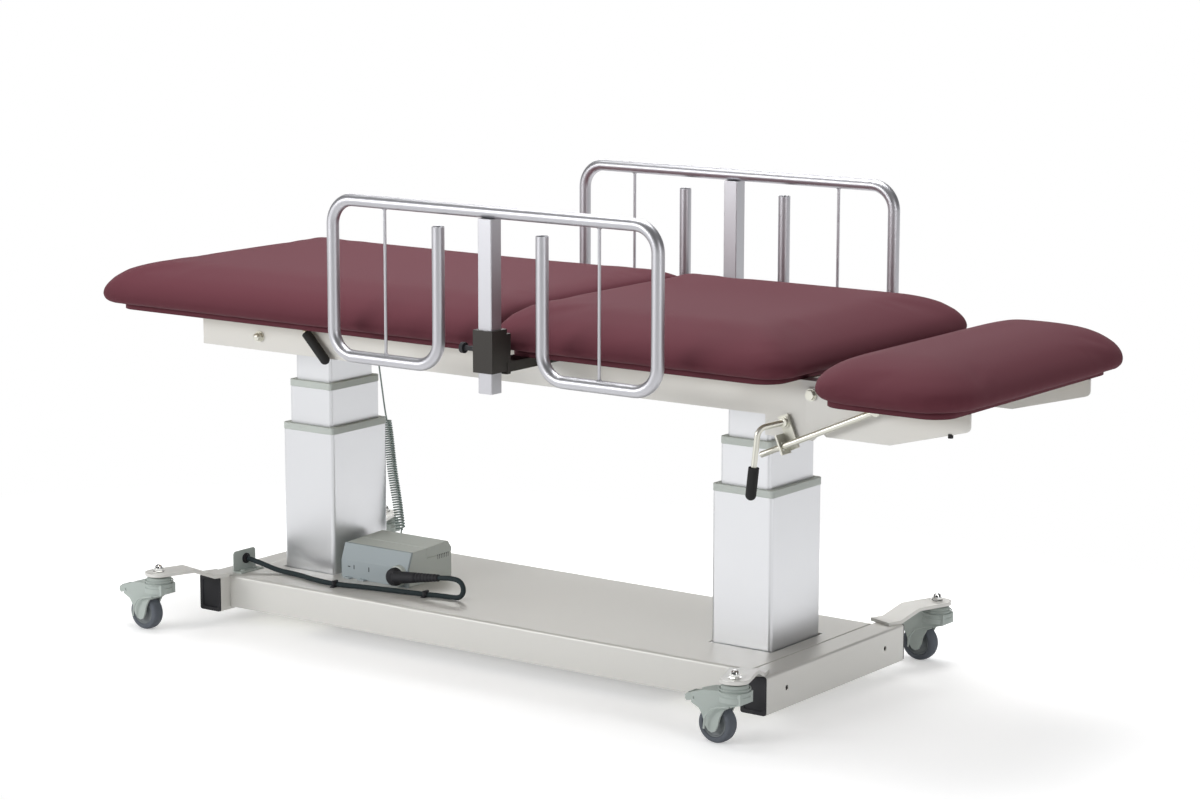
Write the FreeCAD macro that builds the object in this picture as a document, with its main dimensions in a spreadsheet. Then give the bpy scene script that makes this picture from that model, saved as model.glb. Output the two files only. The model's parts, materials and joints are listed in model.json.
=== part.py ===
# Ultrasound examination table on two telescopic columns, with a raising back
# section, a dropping foot section, two side rails and four braked casters.
# Millimetres. X runs from the head end to the foot end, the near long side is
# at negative Y, Z is up, and the origin is on the floor under the middle of
# the outline. The back lies flat, the foot section is level and the rails are
# up, which is how the table rests.
import FreeCAD, Part
import math
import os
import re

import Sketcher
from FreeCAD import Placement, Rotation, Vector

doc = FreeCAD.newDocument("ExaminationTable")

# Driving sizes: name, value in millimetres or degrees, what it is.
SIZES = (
    ("head_pad_length", 1100, "back pad, head end to the joint"),
    ("seat_pad_length", 684, "seat pad"),
    ("foot_pad_length", 341, "foot pad"),
    ("pad_joint_gap", 4, "gap between the back pad and the seat pad"),
    ("foot_joint_gap", 26, "gap between the seat pad and the foot pad"),
    ("pad_width", 762, "all pads, side to side"),
    ("pad_thickness", 84, "foam at its crown"),
    ("nose_slope", 61, "lean of the cut between the pad and its squeezed nose, degrees"),
    ("head_corner", 78, "plan radius of the head end corners"),
    ("seat_corner", 64, "plan radius of the seat pad corners"),
    ("foot_corner", 112, "plan radius of the foot pad corners"),
    ("foot_drop", 27, "foot pad lies this much under the seat pad"),
    ("board_thickness", 15, "plywood under each pad"),
    ("board_inset", 48, "plywood edge inside the pad edge"),
    ("frame_floor", 615, "underside of the top frame over the floor"),
    ("frame_depth", 75, "height of the side channels"),
    ("frame_width", 470, "over the side channels"),
    ("frame_wall", 3, "sheet of the side channels"),
    ("channel_flange", 32, "width of the side channel flanges"),
    ("head_overhang", 210, "back pad past the frame's head end"),
    ("base_setback", 950, "head end to the middle of the base"),
    ("base_length", 1479, "over both cross tubes"),
    ("cross_length", 527, "over the end caps"),
    ("tube_width", 59, "cross tube along the table"),
    ("tube_height", 78, "cross tube"),
    ("tube_wall", 3, "cross tube wall"),
    ("tube_corner", 5, "cross tube outer corner radius"),
    ("floor_gap", 27, "under the cross tubes"),
    ("cap_flange", 4, "end cap outside the tube"),
    ("cap_plug", 14, "end cap inside the tube"),
    ("platform_width", 461, "long platform between the cross tubes"),
    ("platform_height", 71, "long platform, top flush with the cross tubes"),
    ("platform_sheet", 3, "platform sheet"),
    ("hole_spacing", 374, "two holes in the outer face of each cross tube"),
    ("hole_height", 42, "those holes over the tube's underside"),
    ("hole_radius", 5, "those holes"),
    ("column_spacing", 1138, "between the two columns"),
    ("outer_x", 143, "outer column stage along the table"),
    ("outer_y", 185, "outer column stage across the table"),
    ("middle_x", 119, "middle stage along the table"),
    ("middle_y", 166, "middle stage across the table"),
    ("inner_x", 101, "inner stage along the table"),
    ("inner_y", 145, "inner stage across the table"),
    ("column_corner", 8, "column profile corner radius"),
    ("column_wall", 3.5, "column profile wall"),
    ("outer_top", 431, "top of the outer collar over the floor"),
    ("middle_top", 527, "top of the middle collar over the floor"),
    ("collar_height", 15, "glide collars"),
    ("collar_lip", 1, "collar proud of its profile"),
    ("glide_clearance", 0.4, "between a collar and the profile that slides in it"),
    ("middle_stage_length", 380, "middle profile"),
    ("inner_stage_length", 400, "inner profile"),
    ("slot_gap", 4, "platform slot round a column"),
    ("mount_plate", 8, "plates that carry the columns"),
    ("mount_plate_length", 200, "those plates along the table"),
    ("top_plate", 8, "plates on top of the columns"),
    ("top_plate_length", 190, "those plates along the table"),
    ("screw_radius", 9, "lift screw in each column"),
    ("screw_length", 340, "lift screw in each column"),
    ("drive_tube_radius", 17, "tube under each motor that runs on the lift screw"),
    ("drive_tube_length", 340, "that tube"),
    ("motor_height", 110, "motor and gear housing in each inner stage"),
    ("arm_thickness", 7, "caster arm plate"),
    ("arm_width", 58, "caster arm plate"),
    ("arm_rise", 20, "step of the arm above the cross tube"),
    ("stem_out_x", 37, "caster stem outside the tube's middle"),
    ("stem_out_y", 120, "caster stem past the end of the cross tube"),
    ("arm_root_x", 14, "arm's inner end inside the tube's middle"),
    ("arm_root_y", 27, "arm's inner end short of the tube's end"),
    ("wheel_radius", 38, "caster wheel"),
    ("wheel_width", 28, "caster wheel"),
    ("caster_trail", 38, "wheel axle behind the stem"),
    ("axle_radius", 4, "caster axle"),
    ("stem_radius", 6, "caster stem"),
    ("running_clearance", 0.05, "radial clearance of every turning bore"),
    ("fork_width", 44, "caster fork over its cheeks"),
    ("fork_cheek", 5, "caster fork cheek"),
    ("fork_neck", 31, "radius of the fork's widest ring"),
    ("pedal_pin", 3, "radius of the brake pedal's pin"),
    ("pedal_out", 78, "pedal pin behind the stem"),
    ("pedal_level", 86, "pedal pin over the floor"),
    ("side_gap", 0.3, "side play between neighbouring moving pieces"),
    ("nut_radius", 9.5, "domed nut over its flats"),
    ("nut_height", 16, "domed nut"),
    ("washer_radius", 12, "washers"),
    ("washer_thickness", 2, "washers"),
    ("rail_plane", 431, "rail tube centre from the middle of the table"),
    ("rail_past_joint", 50, "rail posts past the joint of back and seat pad"),
    ("rail_length", 796, "between the outer rail uprights"),
    ("rail_inner", 255, "between the inner rail uprights"),
    ("rail_tube", 12.7, "rail tube radius"),
    ("rail_wall", 1.6, "rail tube wall"),
    ("rail_bend", 52, "bend radius of the rail tube"),
    ("rail_top", 986, "top bar centre over the floor"),
    ("rail_bottom", 669, "lower loops' centre over the floor"),
    ("upright_top", 948, "open ends of the inner uprights"),
    ("rod_radius", 3.2, "thin rail rods"),
    ("post_size", 33, "square rail post"),
    ("post_wall", 2, "rail post wall"),
    ("post_bottom", 630, "lower end of the rail post"),
    ("rail_travel", 190, "how far a rail drops"),
    ("sleeve_wall", 7, "post sleeve wall"),
    ("sleeve_bottom", 672, "sleeve's lower edge over the floor"),
    ("sleeve_height", 84, "sleeve"),
    ("sleeve_back", 12, "sleeve back plate"),
    ("arm_bar_width", 50, "rail arm under the pads"),
    ("arm_bar_depth", 20, "rail arm under the pads"),
    ("plunger_radius", 5, "spring plunger pin"),
    ("plunger_knob", 11, "spring plunger knob radius"),
    ("plunger_reach", 46, "plunger knob outside the sleeve"),
    ("hinge_drop", 8, "back hinge axis under the back pad"),
    ("hinge_gap", 12, "board ends short of the back hinge axis"),
    ("hinge_pin", 4, "back hinge pin radius"),
    ("hinge_clearance", 1, "back frame bars inside the channel flanges"),
    ("crank_x", 30, "crank pin past the back hinge axis"),
    ("crank_drop", 52, "crank pin under the back hinge axis"),
    ("crank_pin", 5, "crank pin radius"),
    ("spring_radius", 14, "gas spring body radius"),
    ("spring_rod", 5, "gas spring rod radius"),
    ("spring_end", 290, "far end of the gas spring past the back hinge axis"),
    ("foot_hinge_x", 19, "foot hinge axis before the seat pad's end"),
    ("foot_hinge_drop", 41, "foot hinge axis under the seat pad"),
    ("lug_length", 122, "deep lug of the top frame at the foot end"),
    ("lug_depth", 115, "that lug under the channel's top"),
    ("foot_plate_length", 355, "foot frame side plate"),
    ("foot_plate_wall", 4, "foot frame side plate"),
    ("foot_plate_depth", 92, "foot frame side plate"),
    ("bolt_radius", 6, "hinge bolts"),
    ("bar_radius", 6, "foot support bar"),
    ("bar_setoff", 19.7, "foot support bar outside the foot frame's side plate"),
    ("lock_x", 56, "lock lever pivot before the foot hinge"),
    ("lock_drop", 58, "lock lever pivot under the foot hinge"),
    ("bar_pivot_x", 155, "support bar pivot past the foot hinge"),
    ("bar_pivot_drop", 12, "support bar pivot under the foot hinge"),
    ("bar_slope", 23.7, "support bar's slope at rest, degrees"),
    ("bar_length", 277, "support bar past its pivot"),
    ("bar_play", 2, "radial play of the bar in its bracket"),
    ("lever_rod", 5.7, "lever rod radius"),
    ("grip_radius", 10.5, "lever grip radius"),
    ("grip_length", 54, "lock lever grip"),
    ("box_length", 187, "control box along the table"),
    ("box_depth", 152, "control box across the table"),
    ("box_height", 80, "control box"),
    ("box_x", 472, "control box start before the base's middle"),
    ("box_y", 98, "control box front face"),
    ("cord_radius", 5.5, "power cord"),
    ("thin_cord", 3, "straight ends of the curly cord"),
    ("curly_radius", 12, "outer radius of the curly cord"),
    ("bracket_width", 71, "cord bracket"),
    ("bracket_height", 46, "cord bracket"),
    ("bracket_sheet", 2.5, "cord bracket"),
    ("bracket_out", 690, "cord bracket before the base's middle"),
    ("plug_x", 163, "power plug past the control box's head end"),
    ("plug_level", 25, "power plug over the platform"),
    ("plug_radius", 20, "round face of the power plug"),
    ("socket_radius", 22, "power socket of the control box"),
    ("socket_out", 10, "power socket out of the control box's front"),
    ("coil_start", 172, "lowest curl of the control cord over the floor"),
    ("coil_length", 251, "curled length of the control cord"),
)

# Places that follow from the driving sizes.
PLACES = {
    "head_end": "-(head_pad_length + pad_joint_gap + seat_pad_length"
                " + foot_joint_gap + foot_pad_length) / 2",
    "head_joint": "head_end + head_pad_length",
    "seat_start": "head_joint + pad_joint_gap",
    "seat_end": "seat_start + seat_pad_length",
    "foot_start": "seat_end + foot_joint_gap",
    "base_middle": "head_end + base_setback",
    "base_top": "floor_gap + tube_height",
    "platform_length": "base_length - 2 * tube_width",
    "cross_x": "base_length / 2 - tube_width / 2",
    "stem_x": "cross_x + stem_out_x",
    "stem_y": "cross_length / 2 + stem_out_y",
    "arm_top": "base_top + arm_thickness + arm_rise",
    "arm_under": "base_top + arm_rise",
    "frame_top": "frame_floor + frame_depth",
    "pad_floor": "frame_top + board_thickness",
    "pad_top": "pad_floor + pad_thickness",
    "frame_start": "head_end + head_overhang",
    "foot_pad_floor": "pad_floor - foot_drop",
    "foot_board_floor": "foot_pad_floor - board_thickness",
    "foot_hinge": "seat_end - foot_hinge_x",
    "foot_hinge_z": "pad_floor - foot_hinge_drop",
    "frame_end": "foot_hinge + 16",
    "column_floor": "base_top - platform_height + mount_plate",
    "column_x": "column_spacing / 2",
    "column_top": "frame_floor + frame_wall",
    "hinge_z": "pad_floor - hinge_drop",
    "hinge_y": "frame_width / 2 - channel_flange - hinge_clearance",
    "crank_level": "hinge_z - crank_drop",
    "rail_x": "head_joint + rail_past_joint",
    "sleeve_outer": "post_size / 2 + side_gap + sleeve_wall",
    "lock_pivot": "foot_hinge - lock_x",
    "lock_pivot_z": "foot_hinge_z - lock_drop",
    "bar_pivot": "foot_hinge + bar_pivot_x",
    "bar_pivot_z": "foot_hinge_z - bar_pivot_drop",
    "foot_plate_y": "frame_width / 2 + side_gap + foot_plate_wall / 2",
    "bar_plane": "foot_plate_y + foot_plate_wall / 2 + bar_setoff",
    "box_left": "base_middle - box_x",
    "box_front": "-box_y",
}

sheet = doc.addObject("Spreadsheet::Sheet", "sizes")
for row, (alias, value, note) in enumerate(SIZES, 1):
    sheet.set(f"A{row}", str(value))
    sheet.setAlias(f"A{row}", alias)
    sheet.set(f"B{row}", note)
doc.recompute()

SIZE_NAMES = {alias for alias, value, note in SIZES}
NODES = []


def spelled(text):
    """Open the named places of an expression until it names only sheet cells."""
    def swap(match):
        word = match.group(0)
        if word in PLACES:
            return "(" + spelled(PLACES[word]) + ")"
        return "sizes." + word if word in SIZE_NAMES else word
    return re.sub(r"[a-z_][a-z_0-9]*", swap, str(text))


def number(text):
    """The value of an expression, as a float."""
    return float(sheet.evalExpression(spelled(text) + " + 0.0"))


def tie(thing, name, text):
    """Bind a property of a document object to an expression."""
    thing.setExpression(name, spelled(text))


def put(thing, at, turn=None):
    """Bind the place of an object, after giving it a fixed turn."""
    thing.Placement = Placement(Vector(), turn or Rotation())
    for letter, text in zip("xyz", at):
        tie(thing, "Placement.Base." + letter, text)
    return thing


def block(size, at, name="Block"):
    """A box whose lowest corner is at a place."""
    box = doc.addObject("Part::Box", name)
    for side, text in zip(("Length", "Width", "Height"), size):
        tie(box, side, text)
    return put(box, at)


ALONG = {
    "z": Rotation(),
    "y": Rotation(Vector(1, 0, 0), -90),
    "x": Rotation(Vector(0, 1, 0), 90),
}


def rod(radius, length, at, along="z", name="Rod"):
    """A round bar that starts at a place and runs along an axis."""
    bar = doc.addObject("Part::Cylinder", name)
    tie(bar, "Radius", radius)
    tie(bar, "Height", length)
    return put(bar, at, ALONG[along])


def joined(*pieces):
    """One solid of pieces that are made as one."""
    fuse = doc.addObject("Part::MultiFuse", "Joined")
    fuse.Shapes = list(pieces)
    fuse.Refine = True
    return fuse


def less(base, *tools):
    """A piece with holes or cut-outs."""
    cut = doc.addObject("Part::Cut", "Less")
    cut.Base = base
    cut.Tool = tools[0] if len(tools) == 1 else together(*tools)
    return cut


def together(*pieces):
    """Separate solids kept in one object."""
    group = doc.addObject("Part::Compound", "Group")
    group.Links = list(pieces)
    return group


def formed(shape, name="Formed"):
    """An object that holds a shape made with Part's own functions."""
    feature = doc.addObject("Part::Feature", name)
    feature.Shape = shape
    return feature


def node(label, *pieces):
    """Name the finished sub-part, as one solid or as a group."""
    piece = pieces[0] if len(pieces) == 1 else together(*pieces)
    piece.Label = label
    NODES.append(piece)
    return piece


# Sketched pieces

def new_sketch(body, role):
    """A sketch on one of a body's own origin planes."""
    sketch = body.newObject("Sketcher::SketchObject", body.Name + "Sketch")
    plane = next(f for f in body.Origin.OriginFeatures if f.Role == role)
    sketch.AttachmentSupport = [(plane, "")]
    sketch.MapMode = "FlatFace"
    return sketch


def hold(sketch, kind, geometry, end, text):
    """Add one dimension to a sketch and bind it."""
    arguments = (geometry, end) if end else (geometry,)
    index = sketch.addConstraint(Sketcher.Constraint(kind, *arguments, number(text)))
    sketch.renameConstraint(index, f"size{index}")
    tie(sketch, f"Constraints.size{index}", text)


def add_outline(sketch, corners):
    """A closed outline of straight lines through bound corners."""
    first = sketch.GeometryCount
    points = [Vector(number(x), number(y), 0) for x, y in corners]
    count = len(points)
    for i in range(count):
        sketch.addGeometry(Part.LineSegment(points[i], points[(i + 1) % count]), False)
    for i in range(count):
        after = first + (i + 1) % count
        sketch.addConstraint(Sketcher.Constraint("Coincident", first + i, 2, after, 1))
    for i, (x, y) in enumerate(corners):
        hold(sketch, "DistanceX", first + i, 1, x)
        hold(sketch, "DistanceY", first + i, 1, y)


def add_circle(sketch, x, y, radius):
    """A bound circle."""
    place = Vector(number(x), number(y), 0)
    circle = Part.Circle(place, Vector(0, 0, 1), number(radius))
    index = sketch.addGeometry(circle, False)
    hold(sketch, "Radius", index, 0, radius)
    hold(sketch, "DistanceX", index, 3, x)
    hold(sketch, "DistanceY", index, 3, y)


def rectangle(width, height, x="0", y="0"):
    """Corners of a rectangle about a middle point."""
    return [(f"{x} {a} ({width}) / 2", f"{y} {b} ({height}) / 2")
            for a, b in (("-", "-"), ("+", "-"), ("+", "+"), ("-", "+"))]


PLANE_AXES = {"XY_Plane": (0, 1), "XZ_Plane": (0, 2), "YZ_Plane": (1, 2)}


def edges_at(shape, role, corners):
    """Names of the edges that stand on given corners of a plane's sketch."""
    first, second = PLANE_AXES[role]
    wanted = [(number(x), number(y)) for x, y in corners]
    names = []
    for i, edge in enumerate(shape.Edges, 1):
        spots = {(round(v.Point[first], 3), round(v.Point[second], 3)) for v in edge.Vertexes}
        if len(spots) == 1 and len(edge.Vertexes) == 2:
            x, y = spots.pop()
            if any(math.hypot(x - a, y - b) < 0.01 for a, b in wanted):
                names.append(f"Edge{i}")
    return names


def edges_near(shape, test):
    """Names of the edges whose every sampled point passes a test."""
    names = []
    for i, edge in enumerate(shape.Edges, 1):
        if all(test(point) for point in edge.discretize(3)):
            names.append(f"Edge{i}")
    return names


def plate(role, corners, thickness, at=("0", "0", "0"), circles=(), rounds=(), windows=(),
          turn=None, edge_round=None):
    """A flat piece, extruded both ways from an origin plane."""
    body = doc.addObject("PartDesign::Body", "Plate")
    sketch = new_sketch(body, role)
    add_outline(sketch, corners)
    for window in windows:
        add_outline(sketch, window)
    for circle in circles:
        add_circle(sketch, *circle)
    feature = body.newObject("PartDesign::Pad", "Thickness")
    feature.Profile = sketch
    feature.SideType = "Symmetric"
    tie(feature, "Length", thickness)
    doc.recompute()
    for radius, spots in rounds:
        feature = fillet(body, feature, radius, edges_at(feature.Shape, role, spots))
    if edge_round:
        feature = fillet(body, feature, edge_round[0], edges_near(feature.Shape, edge_round[1]))
    return put(body, at, turn)


def fillet(body, feature, radius, edges):
    """Round named edges of a body's last feature."""
    if not edges:
        raise RuntimeError("no edges to round on " + body.Name)
    rounding = body.newObject("PartDesign::Fillet", "Rounded")
    rounding.Base = (feature, edges)
    tie(rounding, "Radius", radius)
    doc.recompute()
    return rounding


def turned(profile, at=("0", "0", "0"), turn=None):
    """A round piece, from (radius, height) corners turned about its axis."""
    body = doc.addObject("PartDesign::Body", "Turned")
    sketch = new_sketch(body, "XZ_Plane")
    add_outline(sketch, profile)
    feature = body.newObject("PartDesign::Revolution", "Turn")
    feature.Profile = sketch
    feature.ReferenceAxis = (sketch, ["V_Axis"])
    feature.Angle = 360
    doc.recompute()
    return put(body, at, turn)


def bent_path(points, radii):
    """Straight runs through points, joined by tangent arcs."""
    edges = []
    start = points[0]
    for i in range(1, len(points) - 1):
        before = (points[i - 1] - points[i]).normalize()
        after = (points[i + 1] - points[i]).normalize()
        half = before.getAngle(after) / 2
        reach = radii[i - 1] / math.tan(half)
        enter = points[i] + before * reach
        leave = points[i] + after * reach
        inwards = (before + after).normalize()
        middle = points[i] + inwards * (radii[i - 1] / math.sin(half) - radii[i - 1])
        edges.append(Part.LineSegment(start, enter).toShape())
        edges.append(Part.Arc(enter, middle, leave).toShape())
        start = leave
    edges.append(Part.LineSegment(start, points[-1]).toShape())
    return Part.Wire(edges)


def round_bar(path, radius):
    """A solid bar of round section along a path."""
    edge = path.Edges[0]
    start = edge.valueAt(edge.FirstParameter)
    forward = edge.tangentAt(edge.FirstParameter)
    section = Part.Wire(Part.makeCircle(radius, start, forward))
    return path.makePipeShell([section], True, False)


# Base

def make_cross_tube(side):
    """A square-cornered steel tube with two holes in its outer face."""
    outer = rectangle("tube_width", "tube_height", "0", "tube_height / 2")
    inner = rectangle("tube_width - 2 * tube_wall", "tube_height - 2 * tube_wall",
                      "0", "tube_height / 2")
    tube = plate("XZ_Plane", outer, "cross_length - 2 * cap_flange",
                 (f"base_middle + {side} * cross_x", "0", "floor_gap"),
                 rounds=[("tube_corner", outer)], windows=[inner])
    holes = [rod("hole_radius", "2 * tube_wall",
                 (f"base_middle + {side} * (base_length / 2 - tube_wall) - tube_wall",
                  f"{end} * hole_spacing / 2", "floor_gap + hole_height"), "x")
             for end in (-1, 1)]
    return less(tube, *holes)


def make_cap(side, end):
    """A plastic cap that closes one end of a cross tube."""
    outline = rectangle("tube_width - 1", "tube_height - 1")
    flange = plate("XZ_Plane", outline, "cap_flange",
                   (f"base_middle + {side} * cross_x",
                    f"{end} * (cross_length - cap_flange) / 2",
                    "floor_gap + tube_height / 2"),
                   rounds=[("tube_corner", outline)])
    plug = block(("tube_width - 2 * tube_wall - side_gap", "cap_plug",
                  "tube_height - 2 * tube_wall - side_gap"),
                 (f"base_middle + {side} * cross_x"
                  " - (tube_width - 2 * tube_wall - side_gap) / 2",
                  f"{end} * (cross_length / 2 - cap_flange - cap_plug / 2) - cap_plug / 2",
                  "floor_gap + tube_wall + side_gap / 2"))
    dish = block(("tube_width - 18", "cap_flange", "tube_height - 18"),
                 (f"base_middle + {side} * cross_x - (tube_width - 18) / 2",
                  f"{end} * (cross_length / 2 + cap_flange / 2 - 2) - cap_flange / 2",
                  "floor_gap + 9"))
    return less(joined(flange, plug), dish)


def make_platform():
    """The folded tray between the cross tubes, open below, slotted for the columns."""
    body = doc.addObject("PartDesign::Body", "Platform")
    outline = new_sketch(body, "XY_Plane")
    add_outline(outline, rectangle("platform_length", "platform_width"))
    tray = body.newObject("PartDesign::Pad", "Tray")
    tray.Profile = outline
    tie(tray, "Length", "platform_height")
    doc.recompute()
    top = number("platform_height")
    long_edges = edges_near(tray.Shape, lambda p: abs(p.z - top) < 0.01
                            and abs(abs(p.y) - number("platform_width / 2")) < 0.01)
    feature = fillet(body, tray, "2 * platform_sheet", long_edges)
    hollow = new_sketch(body, "XY_Plane")
    add_outline(hollow, rectangle("platform_length - 2 * platform_sheet",
                                  "platform_width - 2 * platform_sheet"))
    pocket = body.newObject("PartDesign::Pocket", "Underside")
    pocket.Profile = hollow
    pocket.Reversed = True
    tie(pocket, "Length", "platform_height - platform_sheet")
    doc.recompute()
    slots = new_sketch(body, "XY_Plane")
    for side in (-1, 1):
        add_outline(slots, rectangle("outer_x + 2 * slot_gap", "outer_y + 2 * slot_gap",
                                     f"{side} * column_x"))
    cut = body.newObject("PartDesign::Pocket", "Slots")
    cut.Profile = slots
    cut.Reversed = True
    tie(cut, "Length", "platform_height")
    doc.recompute()
    return put(body, ("base_middle", "0", "base_top - platform_height"))


def profile_ring(x_size, y_size, wall, length, at, corner="column_corner"):
    """A hollow rounded column profile standing on a place."""
    outer = rectangle(x_size, y_size)
    inner = rectangle(f"{x_size} - 2 * ({wall})", f"{y_size} - 2 * ({wall})")
    x, y, z = at
    return plate("XY_Plane", outer, length, (x, y, f"{z} + ({length}) / 2"),
                 rounds=[(corner, outer)], windows=[inner])


def make_collar(side, around, inside, top):
    """A glide collar on one profile that guides the next one."""
    x, y = around
    outer = rectangle(f"{x} + 2 * collar_lip", f"{y} + 2 * collar_lip")
    opening = rectangle(f"{inside[0]} + 2 * glide_clearance", f"{inside[1]} + 2 * glide_clearance")
    return plate("XY_Plane", outer, "collar_height",
                 (f"base_middle + {side} * column_x", "0", f"{top} - collar_height / 2"),
                 rounds=[("column_corner + collar_lip", outer), ("column_corner", opening)],
                 windows=[opening])


SIDES = (-1, 1)

node("cross_tubes", *[make_cross_tube(side) for side in SIDES])
node("cross_tube_caps", *[make_cap(side, end) for side in SIDES for end in SIDES])
node("base_platform", make_platform())
node("column_mount_plates", *[
    block(("mount_plate_length", "platform_width - 2 * platform_sheet", "mount_plate"),
          (f"base_middle + {side} * column_x - mount_plate_length / 2",
           "-(platform_width - 2 * platform_sheet) / 2", "base_top - platform_height"))
    for side in SIDES])
node("outer_stages", *[
    profile_ring("outer_x", "outer_y", "column_wall", "outer_top - collar_height - column_floor",
                 (f"base_middle + {side} * column_x", "0", "column_floor")) for side in SIDES])
node("outer_collars", *[make_collar(side, ("outer_x", "outer_y"), ("middle_x", "middle_y"),
                                    "outer_top") for side in SIDES])
node("middle_stages", *[
    profile_ring("middle_x", "middle_y", "column_wall", "middle_stage_length",
                 (f"base_middle + {side} * column_x", "0",
                  "middle_top - collar_height - middle_stage_length")) for side in SIDES])
node("middle_collars", *[make_collar(side, ("middle_x", "middle_y"), ("inner_x", "inner_y"),
                                     "middle_top") for side in SIDES])
node("inner_stages", *[
    profile_ring("inner_x", "inner_y", "column_wall", "inner_stage_length",
                 (f"base_middle + {side} * column_x", "0", "column_top - inner_stage_length"))
    for side in SIDES])
node("lift_screws", *[
    rod("screw_radius", "screw_length", (f"base_middle + {side} * column_x", "0", "column_floor"))
    for side in SIDES])


def make_motor(side):
    """A motor in an inner stage, with the tube that it drives along the lift screw."""
    x = f"base_middle + {side} * column_x"
    wide = "(inner_x - 2 * column_wall - 12)"
    deep = "(inner_y - 2 * column_wall - 12)"
    housing = block((wide, deep, "motor_height"),
                    (f"{x} - {wide} / 2", f"-{deep} / 2", "column_top - motor_height"))
    low = (x, "0", "column_top - motor_height - drive_tube_length")
    tube = rod("drive_tube_radius", "drive_tube_length", low)
    bore = rod("screw_radius + 1", "drive_tube_length", low)
    return less(joined(housing, tube), bore)


node("lift_motors", *[make_motor(side) for side in SIDES])
node("column_top_plates", *[
    block(("top_plate_length", "frame_width - 2 * frame_wall", "top_plate"),
          (f"base_middle + {side} * column_x - top_plate_length / 2",
           "-(frame_width - 2 * frame_wall) / 2", "column_top"))
    for side in SIDES])


# Caster arms, stems and nuts

def arm_angle(side, end):
    """Direction of a caster arm in plan, in degrees."""
    run_x = number("stem_out_x + arm_root_x")
    run_y = number("stem_out_y + arm_root_y")
    return math.degrees(math.atan2(end * run_y, side * run_x))


def make_arm(side, end):
    """A joggled plate from the top of a cross tube out to a caster."""
    run = "sqrt((stem_out_x + arm_root_x) ^ 2 + (stem_out_y + arm_root_y) ^ 2)"
    tip = f"{run} + arm_width / 2"
    profile = [("0", "0"), ("arm_root_y + 8", "0"), ("arm_root_y + 58", "arm_rise"),
               (tip, "arm_rise"), (tip, "arm_rise + arm_thickness"),
               ("arm_root_y + 56", "arm_rise + arm_thickness"),
               ("arm_root_y + 6", "arm_thickness"), ("0", "arm_thickness")]
    reach = number(tip)
    half = number("arm_width / 2")

    def at_tip(p):
        return abs(p.x - reach) < 0.01 and abs(abs(p.y) - half) < 0.01

    arm = plate("XZ_Plane", profile, "arm_width",
                (f"base_middle + {side} * (cross_x - arm_root_x)",
                 f"{end} * (cross_length / 2 - arm_root_y)", "base_top"),
                turn=Rotation(Vector(0, 0, 1), arm_angle(side, end)),
                edge_round=("arm_width / 2 - 2", at_tip))
    hole = rod("stem_radius + running_clearance", "40",
               (f"base_middle + {side} * stem_x", f"{end} * stem_y", "arm_under - 10"))
    return less(arm, hole)


def make_domed_nut(at, turn=None):
    """A washer, a hexagon and a dome in one, standing on a face."""
    x, y, z = at
    body = turned([("0", "0"), ("washer_radius", "0"), ("washer_radius", "washer_thickness"),
                   ("nut_radius - 1", "washer_thickness"), ("nut_radius - 1", "nut_height * 0.55"),
                   ("nut_radius * 0.8", "nut_height * 0.8"), ("nut_radius * 0.42", "nut_height * 0.97"),
                   ("0", "nut_height")], (x, y, z), turn)
    hexagon = doc.addObject("Part::Prism", "Hexagon")
    hexagon.Polygon = 6
    tie(hexagon, "Circumradius", "nut_radius * 1.1")
    tie(hexagon, "Height", "nut_height * 0.5 - washer_thickness")
    return body, hexagon


def make_stem(side, end):
    """A caster stem through its arm, with the domed nut above."""
    x = f"base_middle + {side} * stem_x"
    y = f"{end} * stem_y"
    nut, hexagon = make_domed_nut((x, y, "arm_top"))
    put(hexagon, (x, y, "arm_top + washer_thickness"))
    shank = rod("stem_radius", "arm_thickness + 26", (x, y, "arm_under - 26"))
    collar = rod("17", "4", (x, y, "arm_under - 4"))
    return joined(nut, hexagon, shank, collar)


node("caster_arms", *[make_arm(side, end) for side in SIDES for end in SIDES])
node("caster_stems", *[make_stem(side, end) for side in SIDES for end in SIDES])


# Casters

FORK_SIDE = [("-86", "96"), ("-85", "76"), ("-68", "68"), ("-60", "56"), ("-53", "36"),
             ("-46", "27"), ("-38", "24"), ("-30", "27"), ("-25", "38"), ("-20", "56"),
             ("-12", "70"), ("0", "78"), ("16", "83"), ("27", "86"), ("27", "108"),
             ("-27", "108"), ("-57", "105")]


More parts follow.
